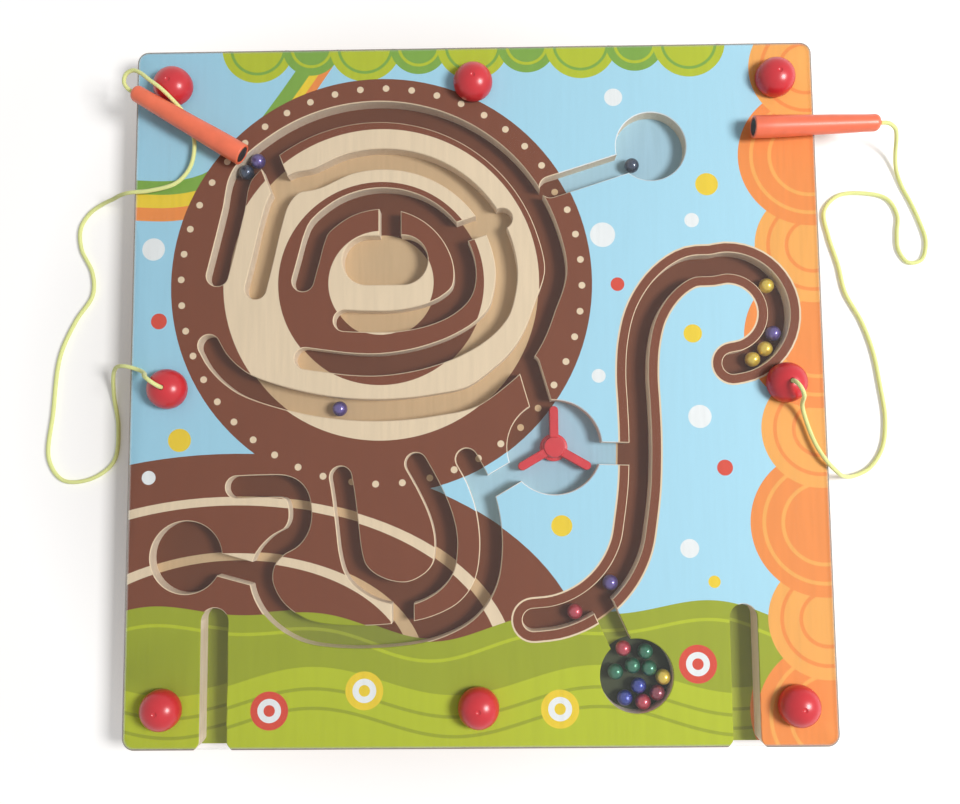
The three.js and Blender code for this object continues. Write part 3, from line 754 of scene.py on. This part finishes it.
def wavy_line(base, waves, start, stop, step=2.0):
    """Points of a wavy line from left to right; waves are (height, length, shift) in millimetres."""
    line = []
    count = round((stop - start) / step)
    for i in range(count + 1):
        x = start + (stop - start) * i / count
        rise = sum(h * math.sin(2 * math.pi * (x - shift) / span) for h, span, shift in waves)
        line.append((x, base + rise))
    return line


def hills(base, waves, half_x, bottom):
    """The ground below a wavy line."""
    return [*wavy_line(base, waves, -half_x, half_x), (half_x, bottom), (-half_x, bottom)]


def turns_left(outline):
    """True if an outline runs anticlockwise."""
    return sum(x0 * y1 - x1 * y0 for (x0, y0), (x1, y1) in zip(outline, outline[1:] + outline[:1])) > 0


def hill(centre_x, base, half_width, height, count=60):
    """A round-topped hill that stands on a base line."""
    points = []
    for i in range(count + 1):
        angle = math.pi * i / count
        points.append((centre_x + half_width * math.cos(angle), base + height * math.sin(angle)))
    return points


def discs(x, y, bands, count=CIRCLE_SIDES):
    """Printed discs on one centre as (ink, outline), the largest first; bands are (radius, ink)."""
    return [(ink, circle_outline(x, y, radius, count)) for radius, ink in bands]


def scallop(x, y, radius, lines, ink, line_ink):
    """A printed disc with thin rings; a line is the inset of its outer and of its inner edge."""
    bands = [(radius, ink)]
    for outer, inner in lines:
        bands += [(radius - outer, line_ink), (radius - inner, ink)]
    return discs(x, y, bands)


def printed_zones():
    """The printed design as (ink, outline), painted in this order over the sky ground."""
    zones = []
    half_x = BOARD_WIDTH / 2 + PRINT_BLEED
    half_y = BOARD_LENGTH / 2 + PRINT_BLEED
    for offset, ink in RIBBON_OFFSETS:
        ribbon = [(x - half_x, y + offset) for x, y in RIBBON_BENDS]
        zones.append((ink, stroke(ribbon, RIBBON_WIDTH, step=4.0)))
    for size, ink in HILL_BANDS:
        zones.append((ink, hill(*HILL_FOOT, HILL_HALF_WIDTH * size, HILL_HEIGHT * size)))
    for ink, line_ink, height, waves, drops in GROUNDS:
        zones.append((ink, hills(height, waves, half_x, -half_y)))
        for drop in drops:
            contour = wavy_line(height - drop, waves, -half_x, half_x, step=6.0)
            zones.append((line_ink, stroke(contour, CONTOUR_WIDTH, step=3.0)))
    for i in range(SIDE_SCALLOP_COUNT):
        inks = ("pale_orange", "orange") if i % 2 else ("orange", "pale_orange")
        y = SIDE_SCALLOP_START + SIDE_SCALLOP_PITCH * i
        zones += scallop(SIDE_SCALLOP_X, y, SIDE_SCALLOP_RADII[i % 2], SIDE_SCALLOP_LINES, *inks)
    for i in range(TOP_SCALLOP_COUNT):
        inks = ("leaf_green", "light_green") if i % 2 else ("light_green", "leaf_green")
        x = TOP_SCALLOP_START + TOP_SCALLOP_PITCH * i
        zones += scallop(x, TOP_SCALLOP_Y, TOP_SCALLOP_RADII[i % 2], TOP_SCALLOP_LINES, *inks)
    zones += discs(*TARGET_CENTRE, TARGET_BANDS, TARGET_SIDES)
    for x, y in arc(TARGET_BORDER, TARGET_DOT_START, TARGET_DOT_START + 360, TARGET_BORDER_DOTS + 1)[:-1]:
        zones.append(("cream", circle_outline(x, y, TARGET_DOT_RADIUS, TARGET_DOT_SIDES)))
    for width, ink in TRACK_BANDS:
        zones.append((ink, stroke(HOOK_TRACK, width, step=3.0)))
    for x, y, radius, ink in DOTS:
        zones.append((ink, circle_outline(x, y, radius, DOT_SIDES)))
    for x, y, ink in ROSETTES:
        for circle_ink, (radius, sides) in zip((ink, "white", ink), ROSETTE_CIRCLES):
            zones.append((circle_ink, circle_outline(x, y, radius, sides)))
    # The bead bowl's floor is drawn near-black olive, far darker than the ground about it
    zones.append(("dark_olive", circle_outline(*BEAD_BOWL)))
    return zones


def board_mesh():
    """The routed board: print on face and floors, with the floors a tone deeper as painted shade, bare
    wood on walls and back, pale rims round the cuts that are partly painted highlight, and a dark band
    along the upper edge.
    """
    outlines = []
    roles = []

    def add(role, outline, value=None):
        outlines.append(outline if turns_left(outline) else outline[::-1])
        roles.append((role, value))

    add("board", rounded_rectangle(BOARD_WIDTH, BOARD_LENGTH, BOARD_CORNER_RADIUS))
    inset = 2 * EDGE_RIM
    face_radius = BOARD_CORNER_RADIUS - EDGE_RIM
    add("face", rounded_rectangle(BOARD_WIDTH - inset, BOARD_LENGTH - inset, face_radius))
    for ink, outline in printed_zones():
        add("zone", outline, ink)
    for route in ROUTES:
        add("cut", stroke(route, GROOVE_WIDTH), GROOVE_FLOOR)
        add("rim", stroke(route, GROOVE_WIDTH + 2 * RIM))
    pocket, pocket_rim = [
        stroke(MIDDLE_POCKET_ROUTE, width, end_steps=MIDDLE_POCKET_STEPS)
        for width in (MIDDLE_POCKET_WIDTH, MIDDLE_POCKET_WIDTH + 2 * RIM)
    ]
    add("cut", pocket, GROOVE_FLOOR)
    add("rim", pocket_rim)
    for x, y, radius in (CORNER_POCKET, SIDE_POCKET, BEAD_BOWL, SPINNER_POCKET):
        add("cut", circle_outline(x, y, radius), GROOVE_FLOOR)
        add("rim", circle_outline(x, y, radius + RIM))
    for side in (-1, 1):
        add("cut", slot_outline(side * SLOT_OFFSET_X, 0), SLOT_FLOOR)
        add("rim", slot_outline(side * SLOT_OFFSET_X, RIM))
    for x in (-PEG_X, 0, PEG_X):
        for y in (-PEG_Y, 0, PEG_Y):
            if x or y:
                add("cut", circle_outline(x, y, PEG_HOLE_RADIUS, PEG_HOLE_SIDES), PEG_HOLE_FLOOR)

    corners = [Vector(point) for outline in outlines for point in outline]
    faces = []
    for outline in outlines:
        first = sum(len(face) for face in faces)
        faces.append(list(range(first, first + len(outline))))
    inside_only = 1
    flat, _, triangles, _, _, inside = delaunay_2d_cdt(corners, [], faces, inside_only, SAME_POINT, True)
    return raise_board(flat, inked_triangles(triangles, inside, roles))


def inked_triangles(triangles, inside, roles):
    """The triangles that lie on the board, each with its height and the number of its finish."""
    kept = []
    for triangle, sources in zip(triangles, inside):
        held = [roles[s] for s in sorted(sources)]
        names = [role for role, _ in held]
        if "board" not in names:
            continue
        floors = [value for role, value in held if role == "cut"]
        zones = [value for role, value in held if role == "zone"]
        ink = zones[-1] if zones else "sky"
        height = min(floors) if floors else BOARD_THICKNESS
        if floors:
            # A floor takes a deeper tone: painted shade for the depth of the cut
            ink = FLOOR_SHADE_INKS.get(ink, ink)
        elif "face" not in names:
            ink = "dark_edge_band"
        elif "rim" in names:
            # A rim's lighter line: pale wood and painted highlight on the brown, painted highlight in the
            # sky and round the bead bowl
            ink = RIM_WOOD_AND_HIGHLIGHT_INKS.get(ink, ink)
        kept.append((triangle, height, BOARD_FINISHES.index(ink)))
    return kept


def raise_board(flat, kept):
    """Lifts the flat triangles to their heights and adds the walls and the back."""
    neighbours = {}
    levels = {}
    for triangle, height, _ in kept:
        for a, b in zip(triangle, triangle[1:] + triangle[:1]):
            neighbours[a, b] = height
            levels.setdefault(a, set()).add(height)
    lowered = set()
    for (a, b), height in neighbours.items():
        if height == BOARD_THICKNESS and neighbours.get((b, a)) != height:
            lowered.update((a, b))

    vertices = []
    index = {}

    def vertex(corner, height):
        z = height - RIM if height == BOARD_THICKNESS and corner in lowered else height
        if (corner, z) not in index:
            index[corner, z] = len(vertices)
            vertices.append((flat[corner].x * MM, flat[corner].y * MM, z * MM))
        return index[corner, z]

    def wall_end(corner, top, foot):
        between = sorted((z for z in levels[corner] if foot < z < top), reverse=True)
        return [vertex(corner, z) for z in (top, *between, foot)]

    polygons = []
    slots = []
    for triangle, height, finish in kept:
        polygons.append([vertex(corner, height) for corner in triangle])
        slots.append(finish)
    wall = BOARD_FINISHES.index("bare_wood")
    side = BOARD_FINISHES.index("side_wood")
    around = {}
    for (a, b), height in neighbours.items():
        other = neighbours.get((b, a), 0.0)
        if (b, a) not in neighbours:
            around[a] = b
        if height > other:
            polygons.append(wall_end(a, height, other) + wall_end(b, height, other)[::-1])
            slots.append(wall if other else side)
    loop = [next(iter(around))]
    while around[loop[-1]] != loop[0]:
        loop.append(around[loop[-1]])
    polygons.append([vertex(corner, 0.0) for corner in reversed(loop)])
    slots.append(wall)

    mesh = bpy.data.meshes.new("maze_board_printed")
    mesh.from_pydata(vertices, [], polygons)
    for finish in BOARD_FINISHES:
        mesh.materials.append(MATERIALS[finish])
    mesh.polygons.foreach_set("material_index", slots)
    smooth(mesh, degrees=30)
    return mesh


def lathe_mesh(name, profile, segments, place):
    """A turned piece from (radius, height) pairs in millimetres, moved by a matrix."""
    vertices = []
    rings = []
    for radius, height in profile:
        if radius < TINY:
            rings.append([len(vertices)])
            vertices.append((0.0, 0.0, height * MM))
            continue
        rings.append(list(range(len(vertices), len(vertices) + segments)))
        for i in range(segments):
            angle = 2 * math.pi * i / segments
            vertices.append((radius * math.cos(angle) * MM, radius * math.sin(angle) * MM, height * MM))
    polygons = []
    for low, high in zip(rings, rings[1:]):
        for i in range(segments):
            k = (i + 1) % segments
            if len(low) == 1:
                polygons.append((low[0], high[k], high[i]))
            elif len(high) == 1:
                polygons.append((low[i], low[k], high[0]))
            else:
                polygons.append((low[i], low[k], high[k], high[i]))
    mesh = bpy.data.meshes.new(name)
    mesh.from_pydata(vertices, [], polygons)
    mesh.transform(place)
    smooth(mesh, degrees=40)
    return mesh


def prism_mesh(layers):
    """Vertices and faces of a stack of outlines with equal point counts: (outline, height) pairs."""
    vertices = []
    polygons = []
    count = len(layers[0][0])
    for outline, height in layers:
        vertices += [(x * MM, y * MM, height * MM) for x, y in outline]
    for level in range(len(layers) - 1):
        for i in range(count):
            k = (i + 1) % count
            low = level * count
            high = low + count
            polygons.append((low + i, low + k, high + k, high + i))
    polygons.append(tuple(reversed(range(count))))
    polygons.append(tuple(range(len(vertices) - count, len(vertices))))
    return vertices, polygons


def joined_mesh(name, stacks):
    """One closed mesh from stacks of outlines that run into each other."""
    solids = []
    for layers in stacks:
        vertices, polygons = prism_mesh(layers)
        mesh = bpy.data.meshes.new(f"{name}_stack")
        mesh.from_pydata(vertices, [], polygons)
        solid = bpy.data.objects.new(f"{name}_stack", mesh)
        scene.collection.objects.link(solid)
        solids.append(solid)
    for solid in solids[1:]:
        union = solids[0].modifiers.new("union", "BOOLEAN")
        union.operation = "UNION"
        union.solver = "EXACT"
        union.object = solid
    depsgraph = bpy.context.evaluated_depsgraph_get()
    joined = bpy.data.meshes.new_from_object(solids[0].evaluated_get(depsgraph))
    joined.name = name
    for solid in solids:
        mesh = solid.data
        bpy.data.objects.remove(solid)
        bpy.data.meshes.remove(mesh)
    return joined


def rounded(corner_radius, height, radius, start, stop, steps=5):
    """Profile points of a rounded edge: an arc about (corner_radius, height), in degrees."""
    return arc((corner_radius, height, radius), start, stop, steps + 1)


def peg_profile(holds_cord):
    """Domed head over a stem; a cord peg is drilled from the top, the others have a moulding dimple."""
    open_radius = CORD_HOLE_RADIUS if holds_cord else PEG_DIMPLE_RADIUS
    dome_height = PEG_HEAD_HEIGHT - PEG_RIM_HEIGHT
    last = math.acos(open_radius / PEG_HEAD_RADIUS)
    dome = []
    for i in range(PEG_DOME_STEPS + 1):
        angle = last * i / PEG_DOME_STEPS
        dome.append((PEG_HEAD_RADIUS * math.cos(angle), PEG_RIM_HEIGHT + dome_height * math.sin(angle)))
    mouth = dome[-1][1]
    if holds_cord:
        opening = [(open_radius, mouth - CORD_HOLE_DEPTH), (0, mouth - CORD_HOLE_DEPTH)]
    else:
        slope = (PEG_DIMPLE_RADIUS - 0.4, mouth - 0.7 * PEG_DIMPLE_DEPTH)
        opening = [slope, (0, mouth - PEG_DIMPLE_DEPTH)]
    stem = PEG_HOLE_FLOOR + REST_GAP - PEG_SEAT
    base = rounded(PEG_HEAD_RADIUS - PEG_EDGE_ROUND, PEG_EDGE_ROUND, PEG_EDGE_ROUND, -90, 0)
    return [(0, stem), (PEG_STEM_RADIUS, stem), (PEG_STEM_RADIUS, 0), *base, *dome, *opening]


def pen_profile():
    """Tapered pen with its magnet's bore open at the wide end."""
    bore = MAGNET_RADIUS + REST_GAP
    depth = MAGNET_LENGTH + REST_GAP
    wide = PEN_MAGNET_END_RADIUS
    shoulder = PEN_LENGTH - PEN_CORD_END_ROUND
    flat = PEN_CORD_END_RADIUS - PEN_CORD_END_ROUND
    return [
        (0, depth), (bore, depth), (bore, BORE_CHAMFER), (bore + BORE_CHAMFER, 0),
        *rounded(wide - PEN_EDGE_ROUND, PEN_EDGE_ROUND, PEN_EDGE_ROUND, -90, 0),
        (wide, PEN_GRIP_LENGTH), (wide - 0.12, PEN_GRIP_LENGTH + 7),
        (PEN_WAIST_RADIUS + 0.08, PEN_WAIST_AT - 6), (PEN_WAIST_RADIUS - 0.05, PEN_WAIST_AT + 2),
        (PEN_CORD_END_RADIUS, shoulder - 4),
        *rounded(flat, shoulder, PEN_CORD_END_ROUND, 0, 90, PEN_END_STEPS),
        (0, PEN_LENGTH),
    ]


def pen_place(magnet_end, heading, prop_height):
    """The pen's place: magnet end on the cover, propped some way along."""
    share = (PEN_PROP_AT - PEN_GRIP_LENGTH) / (PEN_WAIST_AT - PEN_GRIP_LENGTH)
    prop_radius = PEN_MAGNET_END_RADIUS + (PEN_WAIST_RADIUS - PEN_MAGNET_END_RADIUS) * share
    rest_z = COVER_TOP + REST_GAP + PEN_MAGNET_END_RADIUS
    prop_z = COVER_TOP + prop_height + REST_GAP + prop_radius
    pitch = math.atan2(prop_z - rest_z, PEN_PROP_AT)
    turn = math.radians(heading)
    level = math.cos(pitch)
    along = Vector((math.cos(turn) * level, math.sin(turn) * level, math.sin(pitch)))
    move = Matrix.Translation(Vector((*magnet_end, rest_z)) * MM)
    return move @ Vector((0, 0, 1)).rotation_difference(along).to_matrix().to_4x4()


def cord_line(route, step):
    """Points about a step apart on the smooth line through 3-D points, centripetal."""
    points = [Vector(p) for p in route]
    points = [2 * points[0] - points[1], *points, 2 * points[-1] - points[-2]]
    line = []
    for p0, p1, p2, p3 in zip(points, points[1:], points[2:], points[3:]):
        d0, d1, d2 = [max((b - a).length, TINY) ** 0.5 for a, b in ((p0, p1), (p1, p2), (p2, p3))]
        slope_in = ((p1 - p0) / d0 - (p2 - p0) / (d0 + d1) + (p2 - p1) / d1) * d1
        slope_out = ((p2 - p1) / d1 - (p3 - p1) / (d1 + d2) + (p3 - p2) / d2) * d1
        count = max(2, round((p2 - p1).length / step))
        line += [hermite(p1, p2, slope_in, slope_out, k / count) for k in range(count)]
    line.append(points[-2])
    return line


def tube_mesh(name, line, radius, sides):
    """A closed tube along a line, with a UV layer of millimetres along it and round it."""
    vertices = []
    across = Vector((0, 0, 1))
    run = [0.0]
    for i, point in enumerate(line):
        along = (line[min(i + 1, len(line) - 1)] - line[max(i - 1, 0)]).normalized()
        across = across - along * across.dot(along)
        if across.length < SAME_POINT:
            across = along.orthogonal()
        across.normalize()
        side = along.cross(across)
        for k in range(sides):
            angle = 2 * math.pi * k / sides
            vertices.append((point + (across * math.cos(angle) + side * math.sin(angle)) * radius) * MM)
        if i:
            run.append(run[-1] + (point - line[i - 1]).length)
    polygons = []
    marks = []
    girth = 2 * math.pi * radius
    for i in range(len(line) - 1):
        for k in range(sides):
            j = (k + 1) % sides
            polygons.append((i * sides + k, i * sides + j, (i + 1) * sides + j, (i + 1) * sides + k))
            v0 = girth * k / sides
            v1 = girth * (k + 1) / sides
            marks += [(run[i], v0), (run[i], v1), (run[i + 1], v1), (run[i + 1], v0)]
    for cap in (tuple(reversed(range(sides))), tuple(range(len(vertices) - sides, len(vertices)))):
        polygons.append(cap)
        marks += [(0.0, 0.0)] * sides
    mesh = bpy.data.meshes.new(name)
    mesh.from_pydata(vertices, [], polygons)
    layer = mesh.uv_layers.new(name="girth")
    for loop, mark in zip(layer.data, marks):
        loop.uv = mark
    smooth(mesh, degrees=60)
    return mesh, run[-1] * MM


# Camera at the photograph's viewpoint
camera = bpy.data.objects.new("camera", bpy.data.cameras.new("camera"))
scene.collection.objects.link(camera)
camera.data.sensor_width = CAMERA_SENSOR
camera.data.lens = CAMERA_LENS
camera.location = Vector(CAMERA_PLACE) * MM
camera.rotation_euler = [math.radians(angle) for angle in CAMERA_ANGLES]
camera.data.clip_start = 0.01
scene.camera = camera

# Cords: a braided tube along each route from the pen to the peg, each listed with two places along y in
# metres
for side, route, blend_from, blend_to in (
    ("left", CORD_LEFT_ROUTE, 0.070, 0.128),
    ("right", CORD_RIGHT_ROUTE, 0.072, 0.112),
):
    centre_line = cord_line(route, CORD_STEP)
    tube, cord_length = tube_mesh(f"cord_{side}_braid", centre_line, CORD_DIAMETER / 2, CORD_SIDES)
    cord = new_piece(f"cord_{side}_braid", tube, CORD, None, f"cord_{side}")
    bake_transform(cord)

# Board and cover
new_piece("maze_board_printed", board_mesh(), None, "board", "maze_board")
cover = frame["nodes"]["clear_cover"]
cover.data.materials.clear()
cover.data.materials.append(ACRYLIC)
cover.data.materials.append(ACRYLIC_EDGE_HIGHLIGHT)
joined = cover.modifiers.new("joined faces", "WELD")
joined.merge_threshold = SAME_CORNER * MM
edge = cover.modifiers.new("polished edge", "BEVEL")
edge.width = COVER_BEVEL * MM
edge.segments = 1
edge.use_clamp_overlap = False
edge.material = 1
edge.limit_method = "ANGLE"

# Pegs
for row, y in (("top", PEG_Y), ("middle", 0.0), ("bottom", -PEG_Y)):
    for column, x in (("left", -PEG_X), ("centre", 0.0), ("right", PEG_X)):
        if row == "middle" and column == "centre":
            continue
        node = f"peg_{row}_{column}"
        profile = peg_profile(row == "middle")
        seat = Matrix.Translation(Vector((x, y, PEG_SEAT)) * MM)
        mesh = lathe_mesh(f"{node}_dome", profile, PEG_SIDES, seat)
        new_piece(f"{node}_dome", mesh, RED_PLASTIC, "board", node)

# Spinner
spinner_x, spinner_y, _ = SPINNER_POCKET
hub_layers = [
    (circle_outline(0, 0, radius, HUB_SIDES), height)
    for radius, height in (
        (SPINNER_FLANGE_RADIUS - SPINNER_ROUND, SPINNER_BOTTOM),
        (SPINNER_FLANGE_RADIUS, SPINNER_BOTTOM + SPINNER_ROUND),
        (SPINNER_FLANGE_RADIUS, SPINNER_FLANGE_TOP - SPINNER_ROUND),
        (SPINNER_FLANGE_RADIUS - SPINNER_ROUND, SPINNER_FLANGE_TOP),
        (SPINNER_HUB_RADIUS + 0.1, SPINNER_FLANGE_TOP + SPINNER_ROUND),
        *((SPINNER_HUB_RADIUS - inset, SPINNER_TOP - drop) for inset, drop in HUB_CROWN),
    )
]
arm_widths = [
    *((SPINNER_ARM_WIDTH - inset, SPINNER_BOTTOM + rise) for inset, rise in ARM_FOOT),
    *((SPINNER_ARM_WIDTH - inset, SPINNER_ARM_TOP - drop) for inset, drop in ARM_CROWN),
]
arm_layers = []
arm_length = SPINNER_ARM_REACH - SPINNER_ARM_WIDTH / 2
for i in range(SPINNER_ARM_COUNT):
    angle = math.radians(90 + 360 * i / SPINNER_ARM_COUNT)
    tip = (arm_length * math.cos(angle), arm_length * math.sin(angle))
    arm_layers.append([(stroke([(0, 0), tip], width), height) for width, height in arm_widths])
spinner_mesh = joined_mesh("spinner_rotor_moulded", [hub_layers, *arm_layers])
spinner_mesh.transform(Matrix.Translation(Vector((spinner_x, spinner_y, GROOVE_FLOOR)) * MM))
smooth(spinner_mesh, degrees=35)
new_piece("spinner_rotor_moulded", spinner_mesh, RED_PLASTIC, "spinner", "spinner_rotor")
pin = frame["nodes"]["spinner_pin"]
pin.data.materials.clear()
pin.data.materials.append(STEEL)

# Pens and their magnets
for side, magnet_end, heading, prop_height in (
    ("left", (-100.5, 101.6), 149.3, REST_GAP + CORD_DIAMETER),
    ("right", (121.2, 110.9), 1.6, 0.0),
):
    place = pen_place(magnet_end, heading, prop_height)
    body = f"pen_{side}"
    mesh = lathe_mesh(f"{body}_turned", pen_profile(), PEN_SIDES, place)
    new_piece(f"{body}_turned", mesh, ORANGE_PLASTIC, body, f"{body}_body")
    disc = [
        (0, 0),
        *rounded(MAGNET_RADIUS - MAGNET_EDGE_ROUND, MAGNET_EDGE_ROUND, MAGNET_EDGE_ROUND, -90, 0),
        (MAGNET_RADIUS, MAGNET_LENGTH),
        (0, MAGNET_LENGTH),
    ]
    mesh = lathe_mesh(f"{body}_disc", disc, MAGNET_SIDES, place)
    new_piece(f"{body}_disc", mesh, FERRITE, body, f"{body}_magnet")

# Beads
bead_materials = {name: bead_material(f"bead_{name}", colour) for name, colour in BEAD_COLOURS.items()}
ball = arc((0, 0, BEAD_RADIUS), -90, 90, BEAD_PROFILE_POINTS)
for node in sorted(frame["nodes"]):
    if node.startswith("bead_"):
        low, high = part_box(node)
        colour = node.split("_")[2]
        mesh = lathe_mesh(f"{node}_ball", ball, BEAD_SIDES, Matrix.Translation((low + high) / 2))
        body = frame["nodes"][node]["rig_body"]
        new_piece(f"{node}_ball", mesh, bead_materials[colour], body, node)

# Floor: white where the backdrop shows, but it keeps the object's shadow; its glow is weaker close to the
# board, painted shade round it
floor_mesh = bpy.data.meshes.new("floor")
floor_corners = [(x * FLOOR_HALF, y * FLOOR_HALF, 0) for x, y in ((-1, -1), (1, -1), (1, 1), (-1, 1))]
floor_mesh.from_pydata(floor_corners, [], [(0, 1, 2, 3)])
floor_material, floor_tree = new_material("white_paper")
paper = add_node(floor_tree, "ShaderNodeBsdfDiffuse", None, Color=linear("FBF9F7"))
floor_place = add_node(floor_tree, "ShaderNodeTexCoord")
reach = add_node(
    floor_tree, "ShaderNodeVectorMath", {"operation": "LENGTH"}, i0=floor_place.outputs["Object"],
)
fills = []
for near, far, weakest, strongest in FLOOR_GLOW_AND_NEAR_SHADE:
    rise = add_node(
        floor_tree, "ShaderNodeMapRange", None,
        Value=reach.outputs["Value"], From_Min=near, From_Max=far, To_Min=weakest, To_Max=strongest,
    )
    fills.append(rise.outputs[0])
fill = add_node(floor_tree, "ShaderNodeMath", {"operation": "ADD"}, i0=fills[0], i1=fills[1])
lift = add_node(
    floor_tree, "ShaderNodeMath", {"operation": "MULTIPLY"},
    i0=backdrop_rays(floor_tree), i1=fill.outputs[0],
)
glow = add_node(floor_tree, "ShaderNodeEmission", None, Color=linear("FFFFFF"), Strength=lift.outputs[0])
both = add_node(floor_tree, "ShaderNodeAddShader", None, i0=paper.outputs[0], i1=glow.outputs[0])
add_node(floor_tree, "ShaderNodeOutputMaterial", None, Surface=both.outputs[0])
floor_mesh.materials.append(floor_material)
floor = bpy.data.objects.new("floor", floor_mesh)
floor.location.z = -FLOOR_DROP
scene.collection.objects.link(floor)
floor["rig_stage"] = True

# Soft studio light: a broad white surround and one large lamp from the right
world = bpy.data.worlds.new("studio")
scene.world = world
world.use_nodes = True
world.node_tree.nodes.clear()
strength = add_node(
    world.node_tree, "ShaderNodeMapRange", None,
    Value=backdrop_rays(world.node_tree), To_Min=SURROUND_LIGHT, To_Max=1.0,
)
surround = add_node(
    world.node_tree, "ShaderNodeBackground", None, Color=linear("FFFFFF"), Strength=strength.outputs[0],
)
add_node(world.node_tree, "ShaderNodeOutputWorld", None, Surface=surround.outputs[0])
lamp = bpy.data.objects.new("key_right", bpy.data.lights.new("key_right", "AREA"))
lamp.data.size = KEY_SIZE
lamp.data.energy = KEY_WATTS
lamp.location = KEY_PLACE
lamp.rotation_euler = (-lamp.location).to_track_quat("-Z", "Y").to_euler()
scene.collection.objects.link(lamp)

low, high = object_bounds()
